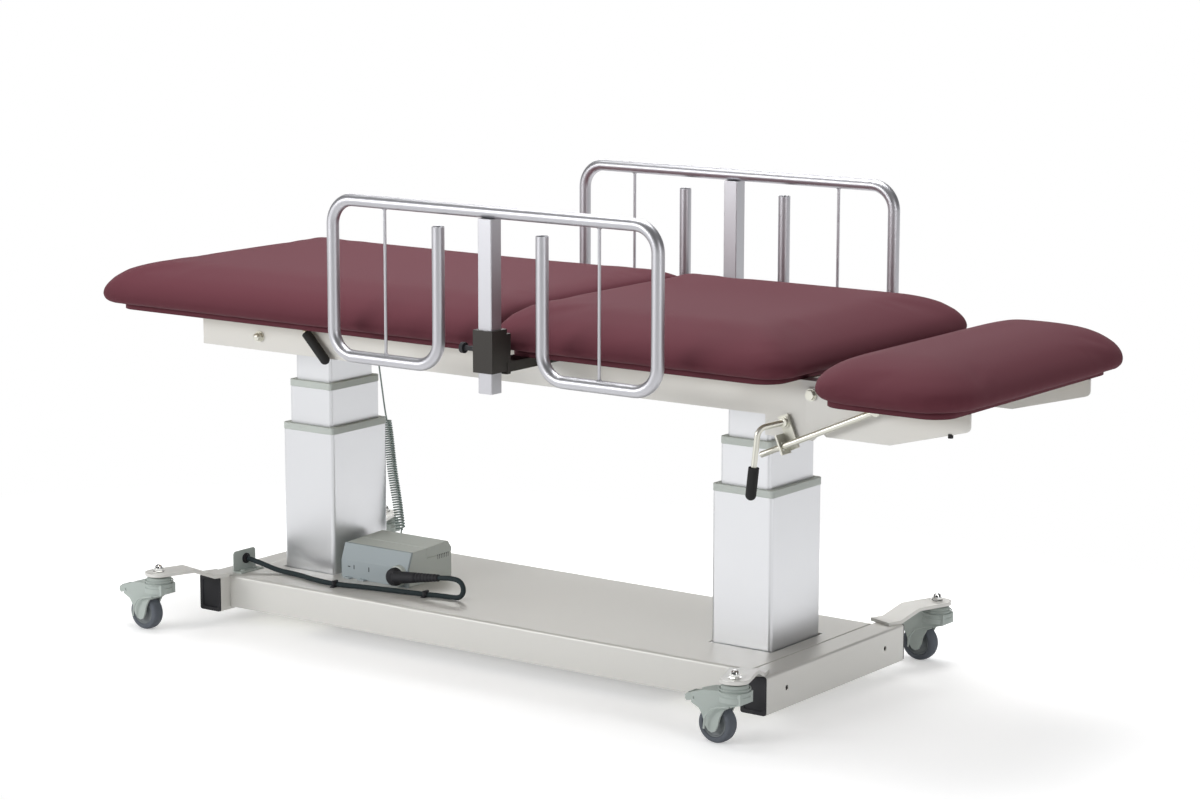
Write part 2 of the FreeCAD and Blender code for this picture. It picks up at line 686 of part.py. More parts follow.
def make_fork(side, end):
    """A swivel fork: round neck over two cheeks that straddle the wheel."""
    x = f"base_middle + {side} * stem_x"
    y = f"{end} * stem_y"
    top = "arm_under - 4 - side_gap"
    cheeks = plate("XZ_Plane", [(a, b) for a, b in FORK_SIDE], "fork_width", (x, y, "0"))
    neck = turned([("0", "88"), ("fork_neck", "88"), ("fork_neck", "98"),
                   ("fork_neck - 2", "100"), ("fork_neck - 2", "107"), ("fork_neck - 4", "109"),
                   ("fork_neck - 4", f"{top} - 3"), ("fork_neck - 7", top), ("0", top)],
                  (x, y, "0"))
    well = rod("wheel_radius + 3", "fork_width - 2 * fork_cheek",
               (f"{x} - caster_trail", f"{y} - fork_width / 2 + fork_cheek", "wheel_radius"), "y")
    rear = block(("60", "fork_width - 2 * fork_cheek", "90"),
                 (f"{x} - 100", f"{y} - fork_width / 2 + fork_cheek", "10"))
    low = block(("60", "fork_width - 2 * fork_cheek", "60"),
                (f"{x} - 50", f"{y} - fork_width / 2 + fork_cheek", "10"))
    bore = rod("stem_radius + running_clearance", "60", (x, y, "arm_under - 26 - side_gap"))
    axle = rod("axle_radius", "fork_width - 2", (f"{x} - caster_trail",
                                                 f"{y} - fork_width / 2 + 1", "wheel_radius"), "y")
    hinge = rod("pedal_pin + running_clearance", "fork_width",
                (f"{x} - pedal_out", f"{y} - fork_width / 2", "pedal_level"), "y")
    fork = less(joined(cheeks, neck), well, rear, low, bore, hinge)
    return joined(fork, axle)


def make_wheel(side, end):
    """A wheel with a rounded tread, stepped faces and a bored hub."""
    half = "wheel_width / 2"
    bore = "axle_radius + running_clearance"
    hub = "(fork_width - 2 * fork_cheek) / 2 - side_gap"
    profile = [(bore, f"-({hub})"), ("9", f"-({hub})"), ("11", f"-({half} - 4)"),
               ("wheel_radius * 0.6", f"-({half} - 4)"), ("wheel_radius * 0.66", f"-({half})"),
               ("wheel_radius - 6", f"-({half})"), ("wheel_radius - 1.5", f"-({half} - 4)"),
               ("wheel_radius", f"-({half} - 10)"), ("wheel_radius", f"{half} - 10"),
               ("wheel_radius - 1.5", f"{half} - 4"), ("wheel_radius - 6", half),
               ("wheel_radius * 0.66", half), ("wheel_radius * 0.6", f"{half} - 4"),
               ("11", f"{half} - 4"), ("9", hub), (bore, hub)]
    return turned(profile, (f"base_middle + {side} * stem_x - caster_trail",
                            f"{end} * stem_y", "wheel_radius"), ALONG["y"])


def make_pedal(side, end):
    """A brake pedal that rocks between the fork cheeks."""
    x = f"base_middle + {side} * stem_x"
    y = f"{end} * stem_y"
    outline = [("-103", "80"), ("-99", "76"), ("-88", "79"), ("-72", "81"),
               ("-72", "91"), ("-88", "93"), ("-98", "92"), ("-103", "88")]
    tread = plate("XZ_Plane", outline, "fork_width - 2 * fork_cheek - 2 * side_gap", (x, y, "0"),
                  rounds=[("2", outline)])
    pin = rod("pedal_pin", "fork_width - 3",
              (f"{x} - pedal_out", f"{y} - (fork_width - 3) / 2", "pedal_level"), "y")
    return joined(tread, pin)


CORNERS = [("head_near", -1, -1), ("head_far", -1, 1), ("foot_near", 1, -1), ("foot_far", 1, 1)]
for corner, side, end in CORNERS:
    node(f"caster_fork_{corner}", make_fork(side, end))
    node(f"caster_wheel_{corner}", make_wheel(side, end))
    node(f"caster_pedal_{corner}", make_pedal(side, end))


# Top frame

def make_channel(side):
    """A side channel of folded sheet, open towards the middle, with a deep end lug."""
    length = "frame_end - frame_start"
    web = plate("XZ_Plane", [("frame_start", "frame_floor"), ("frame_end - lug_length", "frame_floor"),
                             ("frame_end - lug_length", "frame_top - lug_depth"),
                             ("frame_end - 14", "frame_top - lug_depth"),
                             ("frame_end", "frame_top - lug_depth + 14"),
                             ("frame_end", "frame_top"), ("frame_start", "frame_top")],
                "frame_wall", ("0", f"{side} * (frame_width - frame_wall) / 2", "0"))
    inner_y = (f"{side} * (frame_width - channel_flange) / 2 - channel_flange / 2")
    flanges = [block((run, "channel_flange", "frame_wall"), ("frame_start", inner_y, z))
               for run, z in ((f"{length}", "frame_top - frame_wall"),
                              (f"{length} - lug_length", "frame_floor"))]
    return joined(web, *flanges)


def make_cross_rail(x, depth):
    """A bar across the frame between the side channels."""
    return block(("30", "frame_width - 2 * frame_wall", depth),
                 (f"{x} - 15", "-(frame_width - 2 * frame_wall) / 2",
                  f"frame_top - frame_wall - ({depth})"))


def make_hinge_lug(side):
    """A lug on a side channel that holds the back hinge pin between the boards."""
    y = f"{side} * (hinge_y + side_gap + 6) - 6"
    foot = block(("15", "12", "hinge_z - frame_top + frame_wall"),
                 ("head_joint - 7.5", y, "frame_top - frame_wall"))
    eye = rod("7.5", "12", ("head_joint", y, "hinge_z"), "y")
    bore = rod("hinge_pin", "12", ("head_joint", y, "hinge_z"), "y")
    return less(joined(foot, eye), bore)


def make_top_frame():
    """Side channels welded to an end sheet at the head, three cross rails and two lugs."""
    head_sheet = block(("frame_wall", "frame_width", "frame_depth"),
                       ("frame_start", "-frame_width / 2", "frame_floor"))
    rails = [make_cross_rail("rail_x", "26"), make_cross_rail("frame_end - 60", "26"),
             make_cross_rail("head_joint + spring_end + 15", "58")]
    lugs = [make_hinge_lug(side) for side in SIDES]
    frame = joined(make_channel(-1), make_channel(1), head_sheet, *rails, *lugs)
    holes = [rod("bolt_radius", "frame_width + 20",
                 ("foot_hinge", "-frame_width / 2 - 10", "foot_hinge_z"), "y"),
             rod("bolt_radius", "frame_width + 20",
                 ("frame_start + 164", "-frame_width / 2 - 10", "frame_floor + 30"), "y"),
             rod("lever_rod + running_clearance", "20",
                 ("frame_start + 300", "-frame_width / 2 - 10", "frame_top - 16"), "y"),
             rod("bolt_radius + running_clearance", "20",
                 ("lock_pivot", "-frame_width / 2 - 10", "lock_pivot_z"), "y")]
    return less(frame, *holes)


node("top_frame", make_top_frame())


# Back section frame and its gas spring

def make_back_ear(side):
    """The end of a back frame bar that turns on the hinge pin."""
    outline = [("head_joint - 50", "hinge_z - 27"), ("head_joint + 4", "hinge_z - 11"),
               ("head_joint + 7", "hinge_z - 3"), ("head_joint + 7", "hinge_z + 3"),
               ("head_joint + 3", "hinge_z + 7"), ("head_joint - 4", "hinge_z + 6"),
               ("head_joint - 8", "hinge_z - 2"), ("head_joint - hinge_gap", "frame_top"),
               ("head_joint - 50", "frame_top")]
    return plate("XZ_Plane", outline, "12", ("0", f"{side} * (hinge_y - 6)", "0"),
                 circles=[("head_joint", "hinge_z", "hinge_pin + running_clearance")])


def make_back_frame():
    """Two bars and two cross bars under the back board, with ears and the crank."""
    start = "frame_start + 20"
    bars = [block((f"head_joint - 14 - ({start})", "20", "28"),
                  (start, f"{side} * (hinge_y - 10) - 10", "frame_top - 28")) for side in SIDES]
    across = [block(("20", "2 * hinge_y - 40", "28"), (x, "-(2 * hinge_y - 40) / 2",
                                                       "frame_top - 28"))
              for x in (f"{start} + 60", "head_joint - 400", "head_joint - 34")]
    crank = plate("XZ_Plane", [("head_joint - 30", "hinge_z - 16"), ("head_joint + 6", "hinge_z - 18"),
                               ("head_joint + crank_x + 8", "crank_level + 6"),
                               ("head_joint + crank_x + 8", "crank_level - 5"),
                               ("head_joint + crank_x - 1", "crank_level - 9"),
                               ("head_joint - 16", "hinge_z - 33"), ("head_joint - 30", "hinge_z - 33")],
                  "10")
    pin = rod("crank_pin", "28", ("head_joint + crank_x", "-14", "crank_level"), "y")
    return joined(*bars, *across, crank, pin, *[make_back_ear(side) for side in SIDES])


def make_spring_rod():
    """The gas spring's rod, with an upright slotted yoke that straddles the crank."""
    left = "head_joint + crank_x - 13"
    cheeks = [block(("41", "8.5", "32"), (left, y, "crank_level - 18"))
              for y in ("5 + side_gap", "-5 - side_gap - 8.5")]
    bridge = block(("8", "2 * (13.5 + side_gap)", "32"),
                   ("head_joint + crank_x + 20", "-13.5 - side_gap", "crank_level - 18"))
    shaft = rod("spring_rod", "198", ("head_joint + crank_x + 27", "0", "crank_level - 4"), "x")
    slot = plate("XZ_Plane", [("head_joint + crank_x - crank_pin - 0.9", "crank_level - 14"),
                              ("head_joint + crank_x + crank_pin + 0.9", "crank_level - 14"),
                              ("head_joint + crank_x + crank_pin + 0.9", "crank_level + 6"),
                              ("head_joint + crank_x - crank_pin - 0.9", "crank_level + 6")],
                 "40")
    return less(joined(*cheeks, bridge, shaft), slot)


def make_spring_body():
    """The gas spring's pressure tube, bored for its rod."""
    start = "head_joint + crank_x + 36"
    tube = rod("spring_radius", f"head_joint + spring_end - ({start})",
               (start, "0", "crank_level - 4"), "x")
    bore = rod("spring_rod + running_clearance", f"head_joint + spring_end - 12 - ({start})",
               (start, "0", "crank_level - 4"), "x")
    return less(tube, bore)


node("back_frame", make_back_frame())
node("gas_spring_rod", make_spring_rod())
node("gas_spring_body", make_spring_body())


# Boards and pads

def make_board(start, end, floor):
    """The plywood that carries a pad."""
    outline = rectangle(f"{end} - ({start}) - 2 * board_inset", "pad_width - 2 * board_inset")
    return plate("XY_Plane", outline, "board_thickness",
                 (f"(({start}) + ({end})) / 2", "0", f"{floor} + board_thickness / 2"),
                 rounds=[("board_inset", outline)])


def plan_outline(left, right, half, left_corner, right_corner, height):
    """A closed wire round a pad's plan with its own corner radius at each end."""
    quarter = math.sqrt(0.5)
    arcs = []
    spots = []
    for x, y, radius, sx, sy in ((right, half, right_corner, 1, 1), (left, half, left_corner, -1, 1),
                                 (left, -half, left_corner, -1, -1),
                                 (right, -half, right_corner, 1, -1)):
        centre = Vector(x - sx * radius, y - sy * radius, height)
        along_x = centre + Vector(sx * radius, 0, 0)
        along_y = centre + Vector(0, sy * radius, 0)
        middle = centre + Vector(sx * radius * quarter, sy * radius * quarter, 0)
        order = (along_x, middle, along_y) if sx * sy > 0 else (along_y, middle, along_x)
        arcs.append(Part.Arc(*order).toShape())
        spots.append((order[0], order[2]))
    edges = []
    for i, arc in enumerate(arcs):
        edges.append(arc)
        edges.append(Part.LineSegment(spots[i][1], spots[(i + 1) % 4][0]).toShape())
    return Part.Wire(edges)


def make_pad(left, right, floor, left_corner, right_corner, left_share=1, right_share=1):
    """A crowned pad: tucked in below, fullest low down, rounded over to its top.

    A share under 1 keeps the edge at that end sharper, where two pads meet.
    """
    thickness = number("pad_thickness")
    half = number("pad_width / 2")
    levels = ((0, 14), (0.12, 3), (0.3, 0), (0.55, 4), (0.78, 20), (0.92, 50), (1, 110))
    wires = []
    for height, inset in levels:
        corners = [max(number(corner) - 0.45 * inset * share, 12)
                   for corner, share in ((left_corner, left_share), (right_corner, right_share))]
        wires.append(plan_outline(number(left) + inset * left_share,
                                  number(right) - inset * right_share, half - inset,
                                  corners[0], corners[1], number(floor) + height * thickness))
    return Part.makeLoft(wires, True, True)


def make_nose_tool():
    """The wedge over the back hinge that parts the pad from its soft nose."""
    half = number("pad_width / 2 + 20")
    x = number("head_joint")
    low = number("hinge_z")
    rise = number("pad_thickness + 40")
    lean = rise * math.tan(math.radians(number("nose_slope")))
    corners = [Vector(x + 60, -half, low), Vector(x, -half, low),
               Vector(x - lean, -half, low + rise), Vector(x + 60, -half, low + rise)]
    face = Part.Face(Part.makePolygon(corners + corners[:1]))
    return face.extrude(Vector(0, 2 * half, 0))


back_pad = make_pad("head_end", "head_joint", "pad_floor", "head_corner", "18", 1, 0.25)
nose_tool = make_nose_tool()
node("head_pad", formed(back_pad.cut(nose_tool)))
node("head_pad_nose", formed(back_pad.common(nose_tool)))
node("seat_pad", formed(make_pad("seat_start", "seat_end", "pad_floor", "18", "seat_corner",
                                 0.25, 1)))
node("foot_pad", formed(make_pad("foot_start", "foot_start + foot_pad_length", "foot_pad_floor",
                                 "foot_corner - 12", "foot_corner")))
node("head_board", make_board("head_end", "head_joint + board_inset - hinge_gap", "frame_top"))
node("seat_board", make_board("seat_start - board_inset - pad_joint_gap + hinge_gap", "seat_end",
                              "frame_top"))
node("foot_board", make_board("foot_start - 20", "foot_start + foot_pad_length",
                              "foot_board_floor"))


# Foot section

def make_foot_plate(side):
    """A side plate of the foot frame, hinged on the top frame's end lug."""
    outline = [("foot_hinge - 13", "foot_hinge_z + 14"), ("foot_hinge - 13", "foot_hinge_z - 60"),
               ("foot_hinge + 22", "foot_hinge_z - 70"),
               ("foot_hinge + 34", "foot_hinge_z - foot_plate_depth + 14"),
               ("foot_hinge + 172", "foot_hinge_z - foot_plate_depth + 14"),
               ("foot_hinge - 13 + foot_plate_length", "foot_hinge_z - 34"),
               ("foot_hinge - 13 + foot_plate_length", "foot_board_floor"),
               ("foot_hinge + 40", "foot_board_floor"), ("foot_hinge + 26", "foot_hinge_z + 14")]
    circles = [("foot_hinge", "foot_hinge_z", "bolt_radius + running_clearance")]
    if side < 0:
        circles.append(("bar_pivot", "bar_pivot_z", "4 + running_clearance"))
    return plate("XZ_Plane", outline, "foot_plate_wall", ("0", f"{side} * foot_plate_y", "0"),
                 circles=circles, rounds=[("12", [outline[5]]), ("10", [outline[0], outline[8]])])


def make_foot_frame():
    """Two side plates joined by two cross members under the foot board."""
    width = "2 * foot_plate_y + foot_plate_wall"
    members = [block(("26", width, "22"), (x, f"-({width}) / 2", "foot_board_floor - 22"))
               for x in ("foot_start + 52", "foot_start + 160")]
    return joined(make_foot_plate(-1), make_foot_plate(1), *members)


node("foot_frame", make_foot_frame())

# Hinge bolts, and the cross rod at the head end, with domed nuts outside
BOLT_OUT = "foot_plate_y + foot_plate_wall / 2 + side_gap"


def make_hinge_bolt(side):
    """A foot hinge bolt through the side plate and the lug, with its washer and head."""
    start = f"{side} * (frame_width / 2 - 16)" if side > 0 else f"-({BOLT_OUT})"
    shank = rod("bolt_radius", f"{BOLT_OUT} - frame_width / 2 + 16",
                ("foot_hinge", start, "foot_hinge_z"), "y")
    washer = rod("washer_radius", "washer_thickness",
                 ("foot_hinge", f"{side} * ({BOLT_OUT} + washer_thickness / 2)"
                                " - washer_thickness / 2", "foot_hinge_z"), "y")
    head = doc.addObject("Part::Prism", "BoltHead")
    head.Polygon = 6
    tie(head, "Circumradius", "nut_radius")
    tie(head, "Height", "7 + washer_thickness")
    put(head, ("foot_hinge", f"{side} * ({BOLT_OUT})", "foot_hinge_z"),
        Rotation(Vector(1, 0, 0), -90 * side))
    return joined(shank, washer, head)


def make_cross_rod():
    """The rod across the frame's head end that carries the back section's spring."""
    middle = rod("bolt_radius", "frame_width + 4",
                 ("frame_start + 164", "-frame_width / 2 - 2", "frame_floor + 30"), "y")
    pieces = [middle]
    for side in SIDES:
        turn = Rotation(Vector(1, 0, 0), -90 * side)
        at = ("frame_start + 164", f"{side} * frame_width / 2", "frame_floor + 30")
        nut, hexagon = make_domed_nut(at, turn)
        put(hexagon, ("frame_start + 164", f"{side} * (frame_width / 2 + washer_thickness)",
                      "frame_floor + 30"), turn)
        pieces += [nut, hexagon]
    return joined(*pieces)


hinge_pins = [rod("hinge_pin", "24 + side_gap",
                  ("head_joint", f"{side} * (hinge_y + side_gap / 2) - 12 - side_gap / 2",
                   "hinge_z"), "y") for side in SIDES]
node("frame_bolts", *[make_hinge_bolt(side) for side in SIDES], make_cross_rod(), *hinge_pins)


def make_bumper():
    """A rubber stop pressed over the lower edge of the near side plate."""
    return less(rod("5", "8", ("foot_hinge + 300", "-(foot_plate_y)", "foot_hinge_z - 50"), "z"),
                make_foot_plate(-1))


node("foot_bumpers", make_bumper())


# Foot support bar, its swivel bracket and the lock lever

def bar_direction():
    """Unit vector down along the support bar from its pivot."""
    slope = math.radians(number("bar_slope"))
    return Vector(-math.cos(slope), 0, -math.sin(slope))


def make_support_bar():
    """A round bar, flattened into an eye where it hangs on the foot frame."""
    pivot = Vector(number("bar_pivot"), -number("bar_plane"), number("bar_pivot_z"))
    down = bar_direction()
    bar = Part.makeCylinder(number("bar_radius"), number("bar_length"), pivot, down)
    eye = Part.makeCylinder(number("bar_radius + 4"), number("2 * bar_radius"),
                            pivot - Vector(0, number("bar_radius"), 0), Vector(0, 1, 0))
    pin = Part.makeCylinder(4, number("bar_plane - foot_plate_y + foot_plate_wall / 2"),
                            pivot, Vector(0, 1, 0))
    return bar.fuse([eye, pin]).removeSplitter()


def make_lock_bracket():
    """An angle that swivels on the lock lever's bolt and guides the support bar."""
    pivot = Vector(number("lock_pivot"), 0, number("lock_pivot_z"))
    top = Vector(number("bar_pivot"), 0, number("bar_pivot_z"))
    down = bar_direction()
    foot = top + down * (pivot - top).dot(down)
    away = (foot - pivot).normalize()
    inner = -number("foot_plate_y + foot_plate_wall / 2 + side_gap")
    outer = -number("bar_plane + bar_radius + 6")
    turn = Rotation(Vector(0, 0, -1), away)
    leaf = Part.makeBox(22, 4, (foot - pivot).Length + 26, Vector(-11, -4, -(foot - pivot).Length - 12))
    guide = Part.makeBox(4, inner - outer, 40, Vector(-15, outer - inner,
                                                     -(foot - pivot).Length - 16))
    shape = leaf.fuse(guide)
    shape.Placement = Placement(Vector(pivot.x, inner, pivot.z), turn)
    bore = Part.makeCylinder(number("bolt_radius + running_clearance"), 20,
                             Vector(pivot.x, inner - 10, pivot.z), Vector(0, 1, 0))
    passage = Part.makeCylinder(number("bar_radius + bar_play"), 200,
                                foot - down * 100 - Vector(0, number("bar_plane"), 0), down)
    return shape.cut([bore, passage]).removeSplitter()


def lock_lever_corners():
    """Boss, bend and end of the lock lever's rod."""
    x = number("lock_pivot")
    z = number("lock_pivot_z")
    face = -number("foot_plate_y + foot_plate_wall / 2 + 2 * side_gap + 4")
    return [Vector(x, face - 4, z), Vector(x - 31, face - 45, z - 9),
            Vector(x - 41, face - 51, z - 128)]


def make_lock_lever():
    """A bent rod that screws the bracket fast, with its washer and boss."""
    corners = lock_lever_corners()
    bar = round_bar(bent_path(corners, [20]), number("lever_rod"))
    x, face, z = corners[0].x, corners[0].y + 4, corners[0].z
    bolt = Part.makeCylinder(number("bolt_radius"), -face - number("frame_width / 2 - 12"),
                             Vector(x, face, z), Vector(0, 1, 0))
    boss = Part.makeCylinder(9, 9, Vector(x, face - 9, z), Vector(0, 1, 0))
    washer = Part.makeCylinder(number("washer_radius"), 2, Vector(x, face - 2, z), Vector(0, 1, 0))
    return bar.fuse([bolt, boss, washer]).removeSplitter()


def make_grip(corners, radius, length, past):
    """A dipped grip with a round end over the end of a lever rod."""
    forward = (corners[-1] - corners[-2]).normalize()
    end = corners[-1] + forward * past
    start = end - forward * length
    grip = Part.makeCylinder(radius, length, start, forward)
    cap = Part.makeSphere(radius, end)
    core = Part.makeCylinder(number("lever_rod"), length - past, start, forward)
    return grip.fuse(cap).cut(core).removeSplitter()


node("foot_support_bar", formed(make_support_bar()))
node("lock_bracket", formed(make_lock_bracket()))
node("lock_lever", formed(make_lock_lever()))
node("lock_lever_grip", formed(make_grip(lock_lever_corners(), number("grip_radius"),
                                         number("grip_length"), 10)))


# Side rails

def make_rail(side):
    """One bent tube with both ends open at the top, its thin rods and its post."""
    y = side * number("rail_plane")
    x = number("rail_x")
    outer = number("rail_length / 2")
    inner = number("rail_inner / 2")
    top = number("rail_top")
    low = number("rail_bottom")
    corners = [Vector(x - inner, y, number("upright_top")), Vector(x - inner, y, low),
               Vector(x - outer, y, low), Vector(x - outer, y, top), Vector(x + outer, y, top),
               Vector(x + outer, y, low), Vector(x + inner, y, low),
               Vector(x + inner, y, number("upright_top"))]
    path = bent_path(corners, [number("rail_bend")] * 6)
    tube = round_bar(path, number("rail_tube")).cut(round_bar(path, number("rail_tube - rail_wall")))
    reach = number("rail_tube")
    rods = [Part.makeCylinder(number("rod_radius"), top - low - 2 * reach,
                              Vector(x + sx * (outer + inner) / 2, y, low + reach))
            for sx in SIDES]
    half = number("post_size / 2")
    bottom = number("post_bottom")
    post = Part.makeBox(2 * half, 2 * half, top - reach - bottom, Vector(x - half, y - half, bottom))
    post = post.makeFillet(2, [e for e in post.Edges if abs(e.tangentAt(0).z) > 0.9])
    core = half - number("post_wall")
    post = post.cut(Part.makeBox(2 * core, 2 * core, top - reach - bottom - 4,
                                 Vector(x - core, y - core, bottom)))
    slot = number("plunger_radius + side_gap")
    level = number("sleeve_bottom + sleeve_height / 2")
    post = post.cut(Part.makeBox(half, 2 * slot, number("rail_travel") + 2 * slot,
                                 Vector(x - half - 1, y - slot, level - slot)))
    return Part.makeCompound([tube, post, *rods])


def make_rail_bracket(side):
    """A sleeve round a post, its back plate and plunger boss, and the arm to the frame."""
    y = f"{side} * rail_plane"
    wide = "2 * sleeve_outer"
    body = block((wide, wide, "sleeve_height"), ("rail_x - sleeve_outer", f"{y} - sleeve_outer",
                                                 "sleeve_bottom"))
    hole = block(("post_size + 2 * side_gap", "post_size + 2 * side_gap", "sleeve_height"),
                 ("rail_x - post_size / 2 - side_gap", f"{y} - post_size / 2 - side_gap",
                  "sleeve_bottom"))
    back = block((wide, "sleeve_back", "sleeve_height - 4"),
                 ("rail_x - sleeve_outer", f"{side} * (rail_plane - sleeve_outer - sleeve_back / 2)"
                                           " - sleeve_back / 2", "sleeve_bottom - 6"))
    outer = "rail_plane - sleeve_outer"
    inner = "frame_width / 2"
    arm = block(("arm_bar_width", f"{outer} - {inner}", "arm_bar_depth"),
                ("rail_x - arm_bar_width / 2",
                 f"{side} * ({outer} + {inner}) / 2 - ({outer} - {inner}) / 2",
                 "frame_top - arm_bar_depth"))
    boss = rod("plunger_radius + 5", "12",
               ("rail_x - sleeve_outer - 12", y, "sleeve_bottom + sleeve_height / 2"), "x")
    bore = rod("plunger_radius + running_clearance", "40",
               ("rail_x - sleeve_outer - 20", y, "sleeve_bottom + sleeve_height / 2"), "x")
    return less(joined(body, back, boss, arm), hole, bore)


def make_plunger(side):
    """A spring plunger: steel pin with a turned knob, at rest in the post's hole."""
    level = "sleeve_bottom + sleeve_height / 2"
    start = "rail_x - sleeve_outer - plunger_reach"
    pin = rod("plunger_radius", "plunger_reach + sleeve_wall + side_gap + post_wall + 3",
              (start, f"{side} * rail_plane", level), "x")
    knob = rod("plunger_knob", "9", (start, f"{side} * rail_plane", level), "x")
    return joined(pin, knob)


for name, side in (("near", -1), ("far", 1)):
    node(f"{name}_rail", formed(make_rail(side)))
    node(f"{name}_plunger", make_plunger(side))
node("rail_brackets", *[make_rail_bracket(side) for side in SIDES])


# Back section release lever

def release_lever_corners():
    """Inner end, elbow and outer end of the release lever's rod."""
    x = number("frame_start + 300")
    z = number("frame_top - 16")
    face = -number("frame_width / 2 + 13")
    return [Vector(x, face + 41, z), Vector(x, face, z), Vector(x + 52, face - 3, z - 50)]


def make_release_lever():
    """A rod through the near side channel, bent down along it."""
    return round_bar(bent_path(release_lever_corners(), [9]), number("lever_rod"))


node("release_lever", formed(make_release_lever()))
node("release_lever_grip", formed(make_grip(release_lever_corners(), number("grip_radius"), 74, 12)))


# Power parts on the platform

BOX_BACK = "box_depth / 2"
BOX_TOP = "box_height * 0.94 + box_height * 0.06 * ({} + box_depth / 2 - 20) / (box_depth - 32)"


SEAM_DEPTH = "-(box_depth) * 0.06"
SEAM_HEIGHT = "box_height * 0.68"


def make_box_piece(outline):
    """A piece of the control box, from its outline seen from the foot end."""
    return plate("YZ_Plane", outline, "box_length",
                 ("box_left + box_length / 2", "box_front + box_depth / 2", "base_top"))


def make_socket(radius):
    """The round power socket, from inside the case to where the plug seats."""
    return rod(radius, "socket_out + 10",
               ("box_left + plug_x", "box_front - socket_out", "base_top + plug_level"), "y")


case_outline = [("-(box_depth) / 2 + 6", "0"), (BOX_BACK, "0"), (BOX_BACK, SEAM_HEIGHT),
                (SEAM_DEPTH, SEAM_HEIGHT), (SEAM_DEPTH, BOX_TOP.format(SEAM_DEPTH)),
                ("-(box_depth) / 2 + 20", "box_height * 0.94"),
                ("-(box_depth) / 2 + 6", "box_height * 0.5")]
front_outline = [("-(box_depth) / 2", "0"), ("-(box_depth) / 2 + 6", "0"),
                 ("-(box_depth) / 2 + 6", "box_height * 0.5"),
                 ("-(box_depth) / 2 + 20", "box_height * 0.94"),
                 ("-(box_depth) / 2 + 13", "box_height * 0.94"),
                 ("-(box_depth) / 2", "box_height * 0.5")]
cover_outline = [(SEAM_DEPTH, SEAM_HEIGHT), (BOX_BACK, SEAM_HEIGHT), (BOX_BACK, "box_height * 0.8"),
                 ("box_depth / 2 - 12", "box_height"), (SEAM_DEPTH, BOX_TOP.format(SEAM_DEPTH))]
node("control_box_case", joined(make_box_piece(case_outline), make_socket("socket_radius")))
node("control_box_front", less(make_box_piece(front_outline),
                               make_socket("socket_radius + running_clearance")))
node("control_box_cover", make_box_piece(cover_outline))


def over_base(x, y, z):
    """A place counted from the middle of the base."""
    return Vector(number("base_middle") + x, y, z)


def laid(points, name):
    """A path whose bends follow from the runs beside them, with the radii printed."""
    radii = []
    for before, corner, after in zip(points, points[1:], points[2:]):
        half = (before - corner).getAngle(after - corner) / 2
        shorter = min((before - corner).Length, (after - corner).Length)
        radii.append(0.45 * shorter * math.tan(half))
    print(name, "bend radii", [round(radius) for radius in radii])
    return bent_path(points, radii)


CORD_REST = number("base_top + cord_radius + side_gap")
POWER_ROUTE = [over_base(*point) for point in (
    (-680, -170, 131), (-650, -168, 126), (-604, -156, CORD_REST), (-545, -158, CORD_REST),
    (-480, -176, CORD_REST), (-421, -180, CORD_REST), (-357, -164, CORD_REST),
    (-290, -151, CORD_REST), (-247, -144.5, CORD_REST), (-205, -136, CORD_REST),
    (-165, -127, CORD_REST), (-142, -124.5, CORD_REST), (-123, -124, CORD_REST + 1.2),
    (-112, -124, CORD_REST + 12.3), (-112, -124, CORD_REST + 28), (-123, -124, CORD_REST + 39),
    (-143, -124, CORD_REST + 40.5), (-161, -124, CORD_REST + 39.5),
    (-177.5, -124.5, CORD_REST + 37.2))]
power_path = laid(POWER_ROUTE, "power cord")
node("power_cord", formed(round_bar(power_path, number("cord_radius"))))


def make_plug():
    """An angled plug: a round face on the box, a long body and a ribbed tail."""
    face = Vector(number("box_left + plug_x"), number("box_front - socket_out"),
                  number("base_top + plug_level"))
    elbow = face + Vector(0, -12, 0)
    tail = POWER_ROUTE[-1]
    forward = (tail - elbow).normalize()
    length = (tail - elbow).Length - 1.2
    pieces = [Part.makeCylinder(number("plug_radius"), 17, face, Vector(0, -1, 0)),
              Part.makeCone(14, 12, length * 0.5, elbow, forward),
              Part.makeCone(11, number("cord_radius + 2"), length * 0.52,
                            elbow + forward * (length * 0.48), forward)]
    plug = pieces[0].fuse(pieces[1:]).removeSplitter()
    behind = Part.makeBox(80, 30, 80, face + Vector(-40, 0, -40))
    return plug.cut(behind)


def make_clip(i):
    """A small tie mount that holds the cord down on the platform."""
    place = POWER_ROUTE[i]
    mount = Part.makeBox(9, 24, 2, Vector(place.x - 4.5, place.y - 12, number("base_top")))
    loop = Part.makeBox(5, 16, 14, Vector(place.x - 2.5, place.y - 8, number("base_top")))
    return mount.fuse(loop).removeSplitter().cut(round_bar(power_path,
                                                           number("cord_radius + 0.1")))


node("power_plug", formed(make_plug()))
node("cord_clips", formed(Part.makeCompound([make_clip(5), make_clip(9)])))


def make_cord_bracket():
    """A small angle on the platform that holds the power inlet."""
    x, y = over_base(-number("bracket_out"), 0, 0).x, -173.5
    low = number("base_top")
    wide, high, sheet = (number("bracket_width"), number("bracket_height"),
                         number("bracket_sheet"))
    upright = Part.makeBox(sheet, wide, high, Vector(x, y - wide / 2, low))
    upright = upright.makeFillet(8, [edge for edge in upright.Edges
                                     if abs(edge.tangentAt(0).x) > 0.9
                                     and edge.CenterOfMass.z > low + high / 2])
    leaf = Part.makeBox(26, wide, sheet, Vector(x, y - wide / 2, low))
    hole = Part.makeCylinder(11, 20, Vector(x - 5, -170, 131), Vector(1, 0, 0))
    screws = [Part.makeCylinder(5, 3, Vector(x + 15, y + step, low + sheet)) for step in (-20, 20)]
    return Part.makeCompound([upright.fuse(leaf).removeSplitter().cut(hole), *screws])


